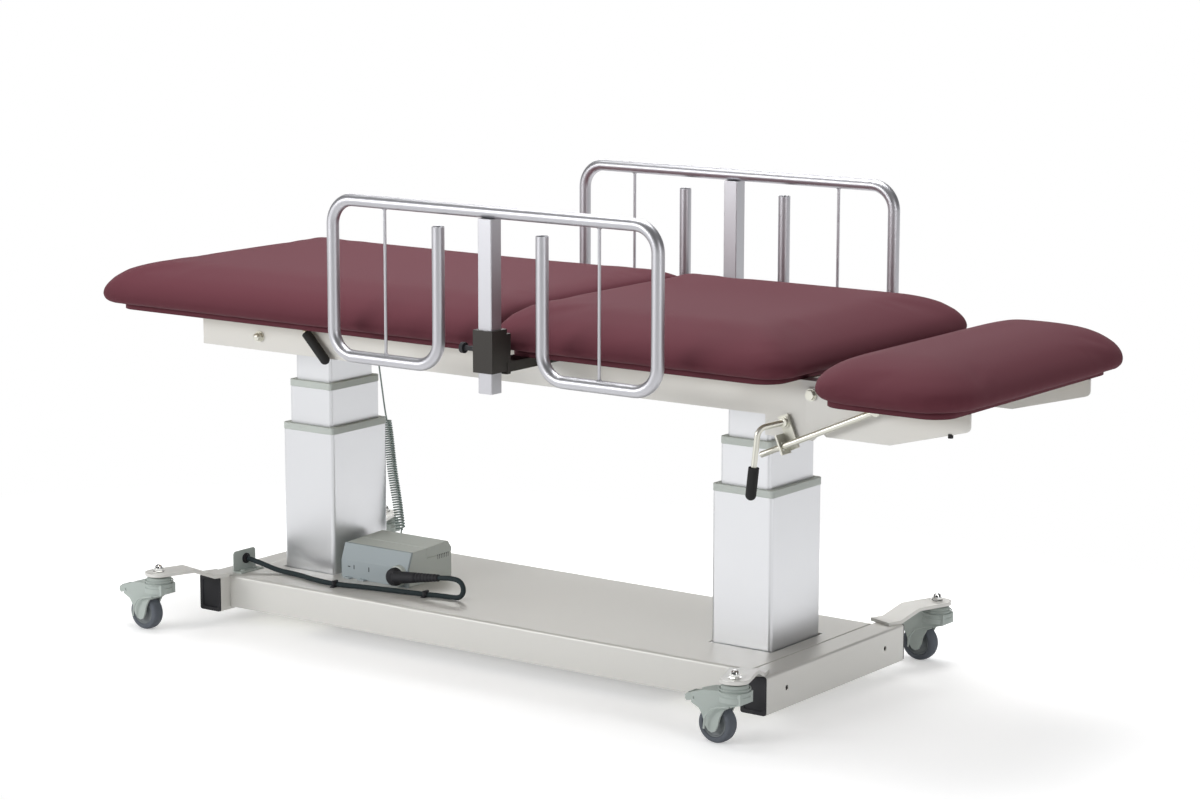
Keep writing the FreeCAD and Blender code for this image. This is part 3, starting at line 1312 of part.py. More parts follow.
def make_inlet():
    """The socket in that bracket, open on its outer side, with a sleeve for the cord."""
    x = over_base(-number("bracket_out"), 0, 0).x
    sheet = number("bracket_sheet")
    axis = Vector(1, 0, 0)
    barrel = Part.makeCylinder(11, 24 + sheet, Vector(x - 24, -170, 131), axis)
    flange = Part.makeCylinder(11.5, 3, Vector(x + sheet, -170, 131), axis)
    sleeve = Part.makeCylinder(8, over_base(-680, 0, 0).x - x - sheet - 1.2,
                               Vector(x + sheet, -170, 131), axis)
    hollow = Part.makeCylinder(8, 14, Vector(x - 24, -170, 131), axis)
    return barrel.fuse([flange, sleeve]).cut(hollow).removeSplitter()


node("cord_bracket", formed(make_cord_bracket()))
node("power_inlet", formed(make_inlet()))


def make_curly_cord():
    """The control cord: straight ends and a close leaning coil, drawn as its outer tube."""
    foot = over_base(-473, 108, number("coil_start"))
    lean = Vector(-39, 0, 248).normalize()
    route = [over_base(*point) for point in (
        (-462, 55.6, 150), (-463, 80, 141), (-468, 104, 143))] + [foot, foot + lean * 30]
    low = round_bar(laid(route, "curly cord"), number("thin_cord"))
    coil = Part.makeCylinder(number("curly_radius"), number("coil_length"), foot, lean)
    top = number("column_top") - 0.8
    rise = Part.makeCylinder(number("thin_cord"), (top - foot.z) / lean.z, foot, lean)
    return low.fuse([coil, rise]).removeSplitter()


node("curly_cord", formed(make_curly_cord()))


def finish():
    """Check every object and write each sub-part to its own file."""
    doc.recompute()
    for thing in doc.Objects:
        bad = [state for state in thing.State if state in ("Invalid", "Error")]
        if bad:
            raise RuntimeError(f"{thing.Name} {thing.Label} is {bad}")
    for piece in NODES:
        if piece.Shape.isNull() or not piece.Shape.isValid() or not piece.Shape.Solids:
            raise RuntimeError(f"{piece.Label} has no valid shape")
    os.makedirs("parts", exist_ok=True)
    for piece in NODES:
        piece.Shape.exportStep(os.path.join("parts", piece.Label + ".step"))
        print(piece.Label, len(piece.Shape.Solids), "solids",
              round(piece.Shape.Volume / 1000, 1), "cm3")


finish()
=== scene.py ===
"""Looks of an ultrasound examination table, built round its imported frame."""

import json
import math

import bmesh
import bpy
from bpy.props import FloatProperty, FloatVectorProperty, IntProperty, PointerProperty
from mathutils import Matrix, Quaternion, Vector, kdtree, noise

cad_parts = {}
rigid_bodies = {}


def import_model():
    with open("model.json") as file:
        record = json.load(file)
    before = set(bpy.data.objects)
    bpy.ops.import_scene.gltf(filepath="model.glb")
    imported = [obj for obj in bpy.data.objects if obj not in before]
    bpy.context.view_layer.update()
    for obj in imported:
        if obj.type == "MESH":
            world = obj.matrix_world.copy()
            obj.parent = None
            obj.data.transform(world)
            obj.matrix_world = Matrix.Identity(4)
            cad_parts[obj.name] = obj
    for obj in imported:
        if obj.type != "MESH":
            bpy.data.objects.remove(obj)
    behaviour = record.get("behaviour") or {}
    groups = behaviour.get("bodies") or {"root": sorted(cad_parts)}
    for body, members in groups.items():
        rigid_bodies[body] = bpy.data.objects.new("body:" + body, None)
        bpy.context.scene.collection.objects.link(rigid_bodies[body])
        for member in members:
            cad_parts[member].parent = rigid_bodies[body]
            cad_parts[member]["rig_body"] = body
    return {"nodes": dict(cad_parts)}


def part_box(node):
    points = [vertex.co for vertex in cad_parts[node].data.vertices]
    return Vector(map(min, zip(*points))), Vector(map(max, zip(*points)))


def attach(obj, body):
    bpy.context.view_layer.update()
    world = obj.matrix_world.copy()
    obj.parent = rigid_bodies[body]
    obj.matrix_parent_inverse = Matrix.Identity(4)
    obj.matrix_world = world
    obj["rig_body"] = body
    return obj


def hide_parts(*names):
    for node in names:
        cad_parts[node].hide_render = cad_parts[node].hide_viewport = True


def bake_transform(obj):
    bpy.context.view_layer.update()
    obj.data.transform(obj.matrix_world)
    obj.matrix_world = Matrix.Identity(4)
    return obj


bl_info = {
    "name": "Examination table",
    "version": (1, 0, 0),
    "blender": (4, 5, 0),
    "location": "3D View > Sidebar > Table",
    "description": "Builds an ultrasound examination table round its packed frame",
    "category": "Object",
}

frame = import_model()


def rgb(code):
    """Linear colour of a six figure sRGB code."""
    parts = [int(code[i:i + 2], 16) / 255 for i in (0, 2, 4)]
    return tuple(v / 12.92 if v <= 0.04045 else ((v + 0.055) / 1.055) ** 2.4 for v in parts)


def colour_property(name, description, code):
    """A colour that the user can change."""
    return FloatVectorProperty(name=name, description=description, subtype="COLOR", size=3,
                               min=0, max=1, default=rgb(code))


def length_property(name, description, default):
    """A length in metres that the user can change."""
    return FloatProperty(name=name, description=description, default=default, min=0,
                         unit="LENGTH", precision=4)


class TableSettings(bpy.types.PropertyGroup):
    """Sizes and colours of the looks."""
    vinyl: colour_property("Vinyl", "Colour of the pads", "561620")
    steel: colour_property("Steel coat", "Powder coat of the base and the frames", "d6d3cf")
    column: colour_property("Columns", "Satin metal of the lifting columns", "d8dad9")
    tube: colour_property("Rail tube", "Silver coat of the side rails", "a9adb2")
    box: colour_property("Control box", "Case of the control box", "c2d2c5")
    box_front: colour_property("Control box front", "Front panel of the control box", "7b979b")
    caster: colour_property("Casters", "Plastic of the caster forks", "a9afaa")
    edge: length_property("Edge rounding", "Rounding of sheet and machined edges", 0.0008)
    pad_rise: length_property("Pad rise", "How far the foam pushes the cover out", 0.005)
    pad_cell: length_property("Pad mesh", "Mesh size of the cover before it is smoothed", 0.010)
    pad_slope: length_property("Pad slope", "Width of the slope down to a pad's edge", 0.15)
    pad_edge: FloatProperty(name="Pad edge", description="Height of a pad's edge, of the pad",
                            default=0.72, min=0.2, max=1)
    cord_width: length_property("Power cord", "Diameter of the power cord", 0.011)
    curl_wire: length_property("Curly cord wire", "Diameter of the curly cord's wire", 0.0036)
    curl_radius: length_property("Curly cord radius", "Outer radius of the curls", 0.012)
    curl_turns: IntProperty(name="Curls", description="Turns of the curly cord", default=46,
                            min=8, max=60)
    tube_radius: length_property("Rail tube radius", "Outer radius of the rail tube", 0.0127)
    tube_bend: length_property("Rail bend", "Bend radius of the rail tube", 0.052)
    hem: length_property("Hem", "Cover turned in under the boards", 0.11)


def settings():
    """The sizes and colours in use."""
    return bpy.context.scene.table_settings


# Materials

# How far the roughness wanders, and the depth of one light and one dark ply.
GLOSS_SPREAD = 0.05
PLY_PAIR = 0.003


def fill(tree, node, inputs):
    """Set or link the inputs of a node."""
    for key, value in inputs.items():
        if isinstance(value, bpy.types.NodeSocket):
            tree.links.new(value, node.inputs[key])
        else:
            node.inputs[key].default_value = value
    return node


class Look:
    """A procedural material while its nodes are joined up."""

    def __init__(self, name):
        self.material = bpy.data.materials.new(name)
        self.material.use_nodes = True
        self.tree = self.material.node_tree
        self.shader = self.tree.nodes["Principled BSDF"]
        self.place = self.tree.nodes.new("ShaderNodeTexCoord").outputs["Object"]

    def finish(self, inputs):
        """Set or link the inputs of the shader, and give the material."""
        fill(self.tree, self.shader, inputs)
        return self.material

    def add(self, kind, inputs, output=0):
        """A new node's output."""
        node = self.tree.nodes.new("ShaderNode" + kind)
        return fill(self.tree, node, inputs).outputs[output]

    def stretched(self, scale):
        """Object coordinates with a scale of their own on each axis."""
        return self.add("Mapping", {"Vector": self.place, "Scale": scale})

    def noise(self, scale, detail=3.0, vector=None):
        """Fractal noise between 0 and 1."""
        return self.add("TexNoise", {"Vector": vector or self.place, "Scale": scale,
                                     "Detail": detail})

    def spread(self, value, low, high, start=0.3, end=0.7):
        """A value moved from one range to another."""
        return self.add("MapRange", {"Value": value, "From Min": start, "From Max": end,
                                     "To Min": low, "To Max": high})

    def maths(self, operation, a, b=0.0):
        """A sum, product or other result of two values."""
        node = self.tree.nodes.new("ShaderNodeMath")
        node.operation = operation
        return fill(self.tree, node, {0: a, 1: b}).outputs[0]

    def shade(self, colour, value):
        """A colour made lighter or darker by a value."""
        return self.add("HueSaturation", {"Color": (*colour, 1), "Value": value})

    def bump(self, height, depth, under=None):
        """A surface normal from a height, on top of another normal."""
        inputs = {"Height": height, "Strength": 1.0, "Distance": depth}
        if under:
            inputs["Normal"] = under
        return self.add("Bump", inputs)


def finish_of(name, colour, roughness, metallic, grain, depth, mottle=0.03, stretch=(1, 1, 1)):
    """A finish with fine grain, and slow changes of shade and gloss."""
    look = Look(name)
    place = look.stretched(stretch)
    fine = look.noise(grain, 3.0, place)
    slow = look.noise(7.0, 3.0, place)
    return look.finish({
        "Base Color": look.shade(colour, look.spread(slow, 1 - mottle, 1 + mottle)),
        "Roughness": look.spread(slow, roughness - GLOSS_SPREAD, roughness + GLOSS_SPREAD),
        "Metallic": metallic, "Normal": look.bump(fine, depth)})


def vinyl_finish(name, colour):
    """Upholstery vinyl: soft sheen, fine leather grain and slow waves of the stretched cover."""
    look = Look(name)
    grain = look.add("TexVoronoi", {"Vector": look.place, "Scale": 520.0})
    pores = look.noise(1300.0, 2.0)
    waves = look.noise(11.0, 2.0)
    height = look.maths("ADD", grain, look.maths("MULTIPLY", pores, 0.5))
    normal = look.bump(height, 0.00004, look.bump(waves, 0.0016))
    slow = look.noise(5.0, 3.0)
    return look.finish({
        "Base Color": look.shade(colour, look.spread(slow, 0.93, 1.07)),
        "Roughness": look.spread(slow, 0.2, 0.26), "Normal": normal,
        "Coat Weight": 0.15, "Coat Roughness": 0.12})


def plywood_finish(name):
    """Birch plywood: pale faces with long grain, darker plies on the edges."""
    look = Look(name)
    along = look.stretched((2.0, 45.0, 45.0))
    grain = look.noise(6.0, 5.0, along)
    parts = look.add("SeparateXYZ", {"Vector": look.place}, 2)
    plies = look.maths("SINE", look.maths("MULTIPLY", parts, 2 * math.pi / PLY_PAIR))
    shade = look.maths("ADD", look.spread(grain, 0.82, 1.06),
                       look.maths("MULTIPLY", plies, 0.06))
    return look.finish({"Base Color": look.shade(rgb("c8a77c"), shade), "Roughness": 0.62,
                        "Normal": look.bump(grain, 0.0001)})


def material(name):
    """The finish of a material slot, made when it is first asked for."""
    if name in bpy.data.materials:
        return bpy.data.materials[name]
    s = settings()
    if name == "vinyl":
        return vinyl_finish(name, s.vinyl)
    if name == "plywood":
        return plywood_finish(name)
    looks = {
        "white_steel": (s.steel, 0.42, 0.0, 520, 0.00005),
        "column_aluminium": (s.column, 0.36, 0.12, 900, 0.00002, 0.02, (1, 1, 0.04)),
        "collar_plastic": (rgb("c3c6c2"), 0.45, 0.0, 900, 0.00003),
        "zinc_steel": (rgb("bdbbb6"), 0.26, 1.0, 300, 0.00003),
        "chrome": (rgb("d6d6d4"), 0.12, 1.0, 300, 0.00001),
        "motor_grey": (rgb("6d7072"), 0.5, 0.2, 600, 0.00006),
        "silver_tube": (s.tube, 0.3, 0.6, 900, 0.00002),
        "black_metal": (rgb("2a2122"), 0.42, 0.0, 600, 0.00006),
        "caster_grey": (s.caster, 0.42, 0.0, 700, 0.00004),
        "caster_tyre": (rgb("3f4244"), 0.6, 0.0, 500, 0.00008),
        "wheel_disc": (rgb("707577"), 0.5, 0.0, 700, 0.00004),
        "black_plastic": (rgb("151516"), 0.42, 0.0, 700, 0.00004),
        "black_rubber": (rgb("111111"), 0.5, 0.0, 500, 0.00008),
        "box_plastic": (s.box, 0.42, 0.0, 700, 0.00005),
        "box_front_plastic": (s.box_front, 0.4, 0.0, 700, 0.00005),
        "cord_vinyl": (rgb("122226"), 0.22, 0.0, 700, 0.00003),
        "cord_grey": (rgb("93b5a7"), 0.36, 0.0, 700, 0.00003),
    }
    return finish_of(name, *looks[name])


# Meshes

WELD = 0.00001
FLAT_ANGLE = 0.6
SHARP_ANGLE = 32


def add_object(name, mesh, slot, body, nodes=(), look=None):
    """An object that rides with a body and stands for CAD nodes."""
    obj = bpy.data.objects.new(name, mesh)
    bpy.context.scene.collection.objects.link(obj)
    obj.data.materials.clear()
    obj.data.materials.append(material(look or slot))
    if body:
        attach(obj, body)
    if nodes:
        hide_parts(*nodes)
    return obj


def mesh_now(obj):
    """The mesh that a curve, or an object with modifiers, shows."""
    bpy.context.view_layer.update()
    graph = bpy.context.evaluated_depsgraph_get()
    return bpy.data.meshes.new_from_object(obj.evaluated_get(graph), depsgraph=graph)


def evaluated(obj, name):
    """The mesh that an object shows; the object itself is removed."""
    mesh = mesh_now(obj)
    mesh.name = name
    bpy.data.objects.remove(obj)
    return mesh


def loose(mesh):
    """A mesh on an object of its own, while modifiers work on it."""
    obj = bpy.data.objects.new("work", mesh)
    bpy.context.scene.collection.objects.link(obj)
    return obj


def modify(obj, kind, **options):
    """Add a modifier with its options set."""
    modifier = obj.modifiers.new(kind.lower(), kind)
    for option, value in options.items():
        setattr(modifier, option, value)
    return modifier


def mesh_of(work, name):
    """The mesh of a bmesh, which is freed."""
    mesh = bpy.data.meshes.new(name)
    work.to_mesh(mesh)
    work.free()
    return mesh


def merged(nodes, flat=FLAT_ANGLE):
    """One clean mesh of CAD nodes, with the triangles of each flat face joined."""
    work = bmesh.new()
    for node in nodes:
        work.from_mesh(frame["nodes"][node].data)
    bmesh.ops.remove_doubles(work, verts=work.verts, dist=WELD)
    bmesh.ops.dissolve_limit(work, angle_limit=math.radians(flat), verts=work.verts,
                             edges=work.edges)
    return mesh_of(work, nodes[0])


def rounded(mesh, width):
    """The mesh with rounded edges and smooth shading between them."""
    obj = loose(mesh)
    mesh.shade_smooth()
    modify(obj, "BEVEL", width=width, segments=2, limit_method="ANGLE",
           angle_limit=math.radians(SHARP_ANGLE), use_clamp_overlap=True, harden_normals=True)
    modify(obj, "WEIGHTED_NORMAL", keep_sharp=True)
    return evaluated(obj, mesh.name + "_rounded")


def dress(node, slot, width=None, look=None):
    """A finely rounded copy of a CAD node that stands in its place."""
    mesh = rounded(merged([node]), width or settings().edge)
    body = frame["nodes"][node]["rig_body"]
    return add_object("visual_" + node, mesh, slot, body, [node], look)


def dress_all(rows):
    """Dress CAD nodes, from rows of node, slot and, where they differ, edge rounding and look."""
    for row in rows:
        dress(*row)


def lathe(profile, centre, axis="Y", steps=64):
    """A mesh turned from (radius, distance along the axis) corners."""
    work = bmesh.new()
    spots = [work.verts.new((r, d, 0)) for r, d in profile]
    edges = [work.edges.new(pair) for pair in zip(spots, spots[1:])]
    bmesh.ops.spin(work, geom=spots + edges, cent=(0, 0, 0), axis=(0, 1, 0),
                   angle=2 * math.pi, steps=steps)
    bmesh.ops.remove_doubles(work, verts=work.verts, dist=WELD / 10)
    bmesh.ops.recalc_face_normals(work, faces=work.faces)
    mesh = mesh_of(work, "turned")
    turns = {"Y": Matrix(), "X": Matrix.Rotation(math.radians(-90), 4, "Z"),
             "Z": Matrix.Rotation(math.radians(90), 4, "X")}
    mesh.transform(Matrix.Translation(centre) @ turns[axis])
    mesh.shade_smooth()
    return mesh


def closed(half):
    """A closed profile from one half of it and that half's mirror image."""
    return [*half, *((radius, -distance) for radius, distance in reversed(half)), half[0]]


def block(size, name):
    """A box with its middle at the origin."""
    work = bmesh.new()
    bmesh.ops.create_cube(work, size=1.0)
    mesh = mesh_of(work, name)
    mesh.transform(Matrix.Diagonal((*size, 1)))
    return mesh


# Geometry Nodes

class Tree:
    """A node group for a modifier while its nodes are joined up."""

    def __init__(self, name, sockets):
        self.group = bpy.data.node_groups.new(name, "GeometryNodeTree")
        self.group.interface.new_socket("Geometry", in_out="INPUT",
                                        socket_type="NodeSocketGeometry")
        for label, kind, value in sockets:
            socket = self.group.interface.new_socket(label, in_out="INPUT",
                                                     socket_type="NodeSocket" + kind)
            if value is not None:
                socket.default_value = value
        self.group.interface.new_socket("Geometry", in_out="OUTPUT",
                                        socket_type="NodeSocketGeometry")
        self.input = self.group.nodes.new("NodeGroupInput").outputs
        self.output = self.group.nodes.new("NodeGroupOutput").inputs[0]

    def add(self, kind, inputs, output=0, **options):
        """A new node's output, with named options and inputs."""
        node = self.group.nodes.new(kind)
        for option, value in options.items():
            setattr(node, option, value)
        return fill(self.group, node, inputs).outputs[output]

    def finish(self, geometry):
        """Realize the instances, set the material and end the group."""
        real = self.add("GeometryNodeRealizeInstances", {"Geometry": geometry})
        done = self.add("GeometryNodeSetMaterial", {"Geometry": real,
                                                    "Material": self.input["Material"]})
        self.group.links.new(done, self.output)
        return self.group


def grown(mesh, group, values, name):
    """The mesh that a node group makes from a mesh, with its named inputs set."""
    obj = loose(mesh)
    modifier = obj.modifiers.new("nodes", "NODES")
    modifier.node_group = group
    for item in group.interface.items_tree:
        if item.in_out == "INPUT" and item.name in values:
            modifier[item.identifier] = values[item.name]
    return evaluated(obj, name)


def tube_group():
    """A tube with rounded bends along the edges of a mesh."""
    if "bent_tube" in bpy.data.node_groups:
        return bpy.data.node_groups["bent_tube"]
    tree = Tree("bent_tube", [("Bend", "Float", 0.05), ("Radius", "Float", 0.01),
                              ("Sides", "Int", 32), ("Material", "Material", None)])
    line = tree.add("GeometryNodeMeshToCurve", {"Mesh": tree.input["Geometry"]})
    bent = tree.add("GeometryNodeFilletCurve", {"Curve": line, "Radius": tree.input["Bend"],
                                                "Count": 14, "Limit Radius": True}, mode="POLY")
    ring = tree.add("GeometryNodeCurvePrimitiveCircle", {"Resolution": tree.input["Sides"],
                                                         "Radius": tree.input["Radius"]})
    tube = tree.add("GeometryNodeCurveToMesh", {"Curve": bent, "Profile Curve": ring,
                                                "Fill Caps": False})
    return tree.finish(tree.add("GeometryNodeSetShadeSmooth", {"Geometry": tube}))


def line_mesh(points):
    """A mesh of one run of edges through points."""
    mesh = bpy.data.meshes.new("line")
    mesh.from_pydata(points, [(i, i + 1) for i in range(len(points) - 1)], [])
    return mesh


def tube_mesh(points, bend, radius, sides=32, look="silver_tube"):
    """A bent tube through corner points."""
    return grown(line_mesh(points), tube_group(),
                 {"Bend": bend, "Radius": radius, "Sides": sides, "Material": material(look)},
                 "tube")


def together(meshes, name):
    """One mesh of several."""
    work = bmesh.new()
    for mesh in meshes:
        work.from_mesh(mesh)
    mesh = mesh_of(work, name)
    mesh.shade_smooth()
    return mesh


# Stage. A lamp is a name, a place, the point that it faces, its width and height, and its watts.

LENS, SENSOR = 94.4, 36
CAMERA_PLACE = (3.788, -5.221, 1.692)
CAMERA_AHEAD = Vector((-0.57552, 0.79889, -0.17477))
CAMERA_ROLL = -0.002
LAMPS = (
    ("key", (-2.7, -4.7, 1.9), (0, 0, 0.5), (3.4, 1.2), 135),
    ("side", (5.0, -1.6, 1.6), (0, 0, 0.45), (1.6, 2.2), 42),
    ("back", (-3.0, 4.2, 3.3), (0, 0, 0.75), (3.4, 1.0), 60),
    ("over", (-0.4, 0.4, 3.8), (0, 0, 0.5), (3.2, 1.6), 120),
)
# Reflections see a room that is brightest towards BRIGHT_WALL.
BRIGHT_WALL = (-0.50, 0.86, -0.35)
WALL_DIM, WALL_BRIGHT, ROOM = 0.08, 0.26, 0.40
# The floor shows shadows up to SHADOW_END from its middle, and is plain white from WHITE_START.
FLOOR_WHITE, FLOOR_LIFT, FLOOR_GLOW = 0.86, 0.36, 0.45
SHADOW_END, WHITE_START, FLOOR_REACH = 1.25, 2.3, 90.0


def soft_light(name, place, target, size, power):
    """A large soft lamp that faces a point."""
    data = bpy.data.lights.new(name, "AREA")
    data.shape = "RECTANGLE"
    data.size, data.size_y = size
    data.energy = power
    lamp = bpy.data.objects.new(name, data)
    bpy.context.scene.collection.objects.link(lamp)
    lamp.location = place
    lamp.rotation_euler = (Vector(target) - Vector(place)).to_track_quat("-Z", "Y").to_euler()


def add_camera():
    """A long lens from the foot end's near side, a little over the pads."""
    data = bpy.data.cameras.new("camera")
    data.lens = LENS
    data.sensor_width = SENSOR
    data.clip_end = 200
    camera = bpy.data.objects.new("camera", data)
    bpy.context.scene.collection.objects.link(camera)
    camera.location = CAMERA_PLACE
    turn = CAMERA_AHEAD.to_track_quat("-Z", "Y")
    camera.rotation_euler = (Quaternion(CAMERA_AHEAD, CAMERA_ROLL) @ turn).to_euler()
    bpy.context.scene.camera = camera


def add_world():
    """White behind the table, and a soft studio in its reflections."""
    world = bpy.data.worlds.new("studio")
    bpy.context.scene.world = world
    world.use_nodes = True
    tree = world.node_tree
    tree.nodes.clear()

    def add(kind, inputs):
        return fill(tree, tree.nodes.new("ShaderNode" + kind), inputs).outputs

    place = add("TexCoord", {})["Generated"]
    facing = add("VectorMath", {0: place, 1: BRIGHT_WALL})[1]
    facing.node.operation = "DOT_PRODUCT"
    level = add("MapRange", {"Value": facing, "From Min": -0.2, "From Max": 0.85,
                             "To Min": WALL_DIM, "To Max": WALL_BRIGHT})["Result"]
    room = add("Background", {"Color": (0.97, 0.985, 1.0, 1), "Strength": ROOM})[0]
    walls = add("Background", {"Color": (1, 1, 1, 1), "Strength": level})[0]
    white = add("Background", {"Color": (1, 1, 1, 1), "Strength": 1.0})[0]
    paths = add("LightPath", {})
    mirrored = add("MixShader", {0: paths["Is Glossy Ray"], 1: room, 2: walls})[0]
    mixed = add("MixShader", {0: paths["Is Camera Ray"], 1: mirrored, 2: white})[0]
    add("OutputWorld", {"Surface": mixed})


def floor_finish():
    """White that keeps the table's shadow, and plain white further off."""
    look = Look("floor_white")
    paths = look.tree.nodes.new("ShaderNodeLightPath").outputs
    seen = look.maths("MAXIMUM", paths["Is Camera Ray"],
                      look.maths("MAXIMUM", paths["Is Glossy Ray"], paths["Is Transmission Ray"]))
    fine = look.noise(40.0, 3.0)
    look.finish({"Base Color": (FLOOR_WHITE, FLOOR_WHITE, FLOOR_WHITE, 1), "Roughness": 0.8,
                 "Specular IOR Level": 0.0, "Normal": look.bump(fine, 0.0001)})
    lift = look.add("Emission", {"Color": (1, 1, 1, 1),
                                 "Strength": look.maths("MULTIPLY", seen, FLOOR_LIFT)})
    near = look.add("AddShader", {0: look.shader.outputs[0], 1: lift})
    far = look.add("Emission", {"Color": (1, 1, 1, 1),
                                "Strength": look.maths("MAXIMUM", seen, FLOOR_GLOW)})
    flat = look.add("Mapping", {"Vector": look.place, "Scale": (1.0, 1.6, 1.0)})
    distance = look.add("VectorMath", {0: flat}, 1)
    distance.node.operation = "LENGTH"
    share = look.spread(distance, 0.0, 1.0, SHADOW_END, WHITE_START)
    mixed = look.add("MixShader", {0: share, 1: near, 2: far})
    output = look.tree.nodes["Material Output"]
    look.tree.links.new(mixed, output.inputs["Surface"])
    return look.material


def add_floor():
    """A wide white floor."""
    mesh = bpy.data.meshes.new("floor")
    far = FLOOR_REACH
    mesh.from_pydata([(-far, -far, 0), (far, -far, 0), (far, far, 0), (-far, far, 0)], [],
                     [(0, 1, 2, 3)])
    floor = bpy.data.objects.new("floor", mesh)
    bpy.context.scene.collection.objects.link(floor)
    mesh.materials.append(floor_finish())


class TABLE_OT_stage(bpy.types.Operator):
    """Add the floor, the studio light and the camera"""
    bl_idname = "table.stage"
    bl_label = "Stage"

    def execute(self, context):
        context.scene.view_settings.view_transform = "Standard"
        add_camera()
        add_world()
        add_floor()
        for lamp in LAMPS:
            soft_light(*lamp)
        return {"FINISHED"}


# Cords

PLUG_X, PLUG_Z = -0.4365, 0.130
# Height of the power cord's middle where it lies on the platform.
CORD_REST = 0.1108
POWER_ROUTE = [
    (-0.8075, -0.170, 0.131), (-0.7775, -0.168, 0.126), (-0.7315, -0.156, CORD_REST),
    (-0.6725, -0.158, CORD_REST), (-0.6075, -0.176, CORD_REST), (-0.5485, -0.180, CORD_REST),
    (-0.4845, -0.164, CORD_REST), (-0.4175, -0.151, CORD_REST), (-0.3745, -0.1445, CORD_REST),
    (-0.3325, -0.136, CORD_REST), (-0.2925, -0.127, CORD_REST), (-0.2695, -0.1245, CORD_REST),
    (-0.2505, -0.124, 0.112), (-0.2395, -0.124, 0.1231), (-0.2395, -0.124, 0.1388),
    (-0.2505, -0.124, 0.1498), (-0.2705, -0.124, 0.1513), (-0.2885, -0.124, 0.1503),
    (-0.305, -0.1245, 0.148)]
CLIP_PLACES = (5, 9)
TIE_HEAD = (0.0048, 0.0058, 0.0042)
NECK_SHARE = 0.52
PLUG_RIBS = 7
CURLY_START = [(-0.5895, 0.0556, 0.150), (-0.5905, 0.080, 0.141), (-0.5955, 0.104, 0.143)]
CURLY_FOOT = Vector((-0.6005, 0.108, 0.172))
CURLY_LEAN = Vector((-0.039, 0, 0.248)).normalized()
CURLED_LENGTH = 0.251
CURLY_END = 0.617
CURL_STEPS = 10
CURL_FADE = 6
CURL_SWAY = 0.0012


def spline_curve(name, points, width=0.0):
    """A smooth curve with the points as its control points."""
    data = bpy.data.curves.new(name, "CURVE")
    data.dimensions = "3D"
    data.resolution_u = 8
    data.bevel_depth = width / 2
    data.bevel_resolution = 4
    data.use_fill_caps = True
    spline = data.splines.new("NURBS")
    spline.points.add(len(points) - 1)
    for spot, place in zip(spline.points, points):
        spot.co = (*place, 1)
    spline.order_u = 3
    spline.use_endpoint_u = True
    obj = bpy.data.objects.new(name, data)
    bpy.context.scene.collection.objects.link(obj)
    return obj


def path_points(points):
    """Points read along the smooth line of a route."""
    mesh = evaluated(spline_curve("line", points), "line")
    return [vertex.co.copy() for vertex in mesh.vertices]


def curly_route():
    """The curly cord: a lead, close leaning curls, and a straight end up into the frame."""
    s = settings()
    radius = s.curl_radius - s.curl_wire / 2
    across = Vector((0, 1, 0))
    along = across.cross(CURLY_LEAN)
    count = s.curl_turns * CURL_STEPS
    points = [Vector(place) for place in CURLY_START] + [CURLY_FOOT - CURLY_LEAN * 0.008]
    for i in range(count + 1):
        angle = 2 * math.pi * i / CURL_STEPS
        grow = min(1.0, (i + 1) / CURL_FADE, (count - i + 1) / CURL_FADE)
        rise = CURLED_LENGTH * (i / count) ** 0.93
        sway = across * CURL_SWAY * math.sin(9 * i / count)
        ring = along * math.cos(angle) + across * math.sin(angle)
        points.append(CURLY_FOOT + CURLY_LEAN * rise + ring * radius * grow + sway)
    for reach in (0.020, 0.080, (CURLY_END - CURLY_FOOT.z) / CURLY_LEAN.z - CURLED_LENGTH):
        points.append(CURLY_FOOT + CURLY_LEAN * (CURLED_LENGTH + reach))
    return points


def turned_to(mesh, place, direction):
    """Move a mesh that was made along Z to a place, facing a direction."""
    turn = Vector(direction).to_track_quat("Z", "Y").to_matrix().to_4x4()
    mesh.transform(Matrix.Translation(place) @ turn)
    return mesh


def nearest(line, place):
    """The point of a line nearest to a place, and the line's direction there."""
    i = min(range(1, len(line) - 1), key=lambda k: (line[k] - Vector(place)).length)
    return line[i], (line[i + 1] - line[i - 1]).normalized()


def add_cord_ties(line):
    """A black tie round the cord on each tie mount, with its head and cut end."""
    reach = settings().cord_width / 2
    band = closed([(reach + 0.0001, -0.0022), (reach + 0.0012, -0.0020)])
    pieces = []
    for i in CLIP_PLACES:
        place, way = nearest(line, POWER_ROUTE[i])
        pieces.append(turned_to(lathe(band, (0, 0, 0), "Z", 32), place, way))
        side = way.cross(Vector((0, 0, 1))).normalized()
        up = Vector((0, 0, reach * 0.7))
        head = block(TIE_HEAD, "tie_head")
        turned_to(head, place + side * (reach + 0.0014) + up, way)
        pieces.append(rounded(head, 0.0006))
        tail = [place + side * (reach + 0.002) + up,
                place + side * (reach + 0.008) + Vector((0, 0, reach + 0.005))]
        pieces.append(tube_mesh(tail, 0.0, 0.0009, 8, "black_plastic"))
    add_object("visual_cord_ties", together(pieces, "cord_ties"), "black_plastic", "base")


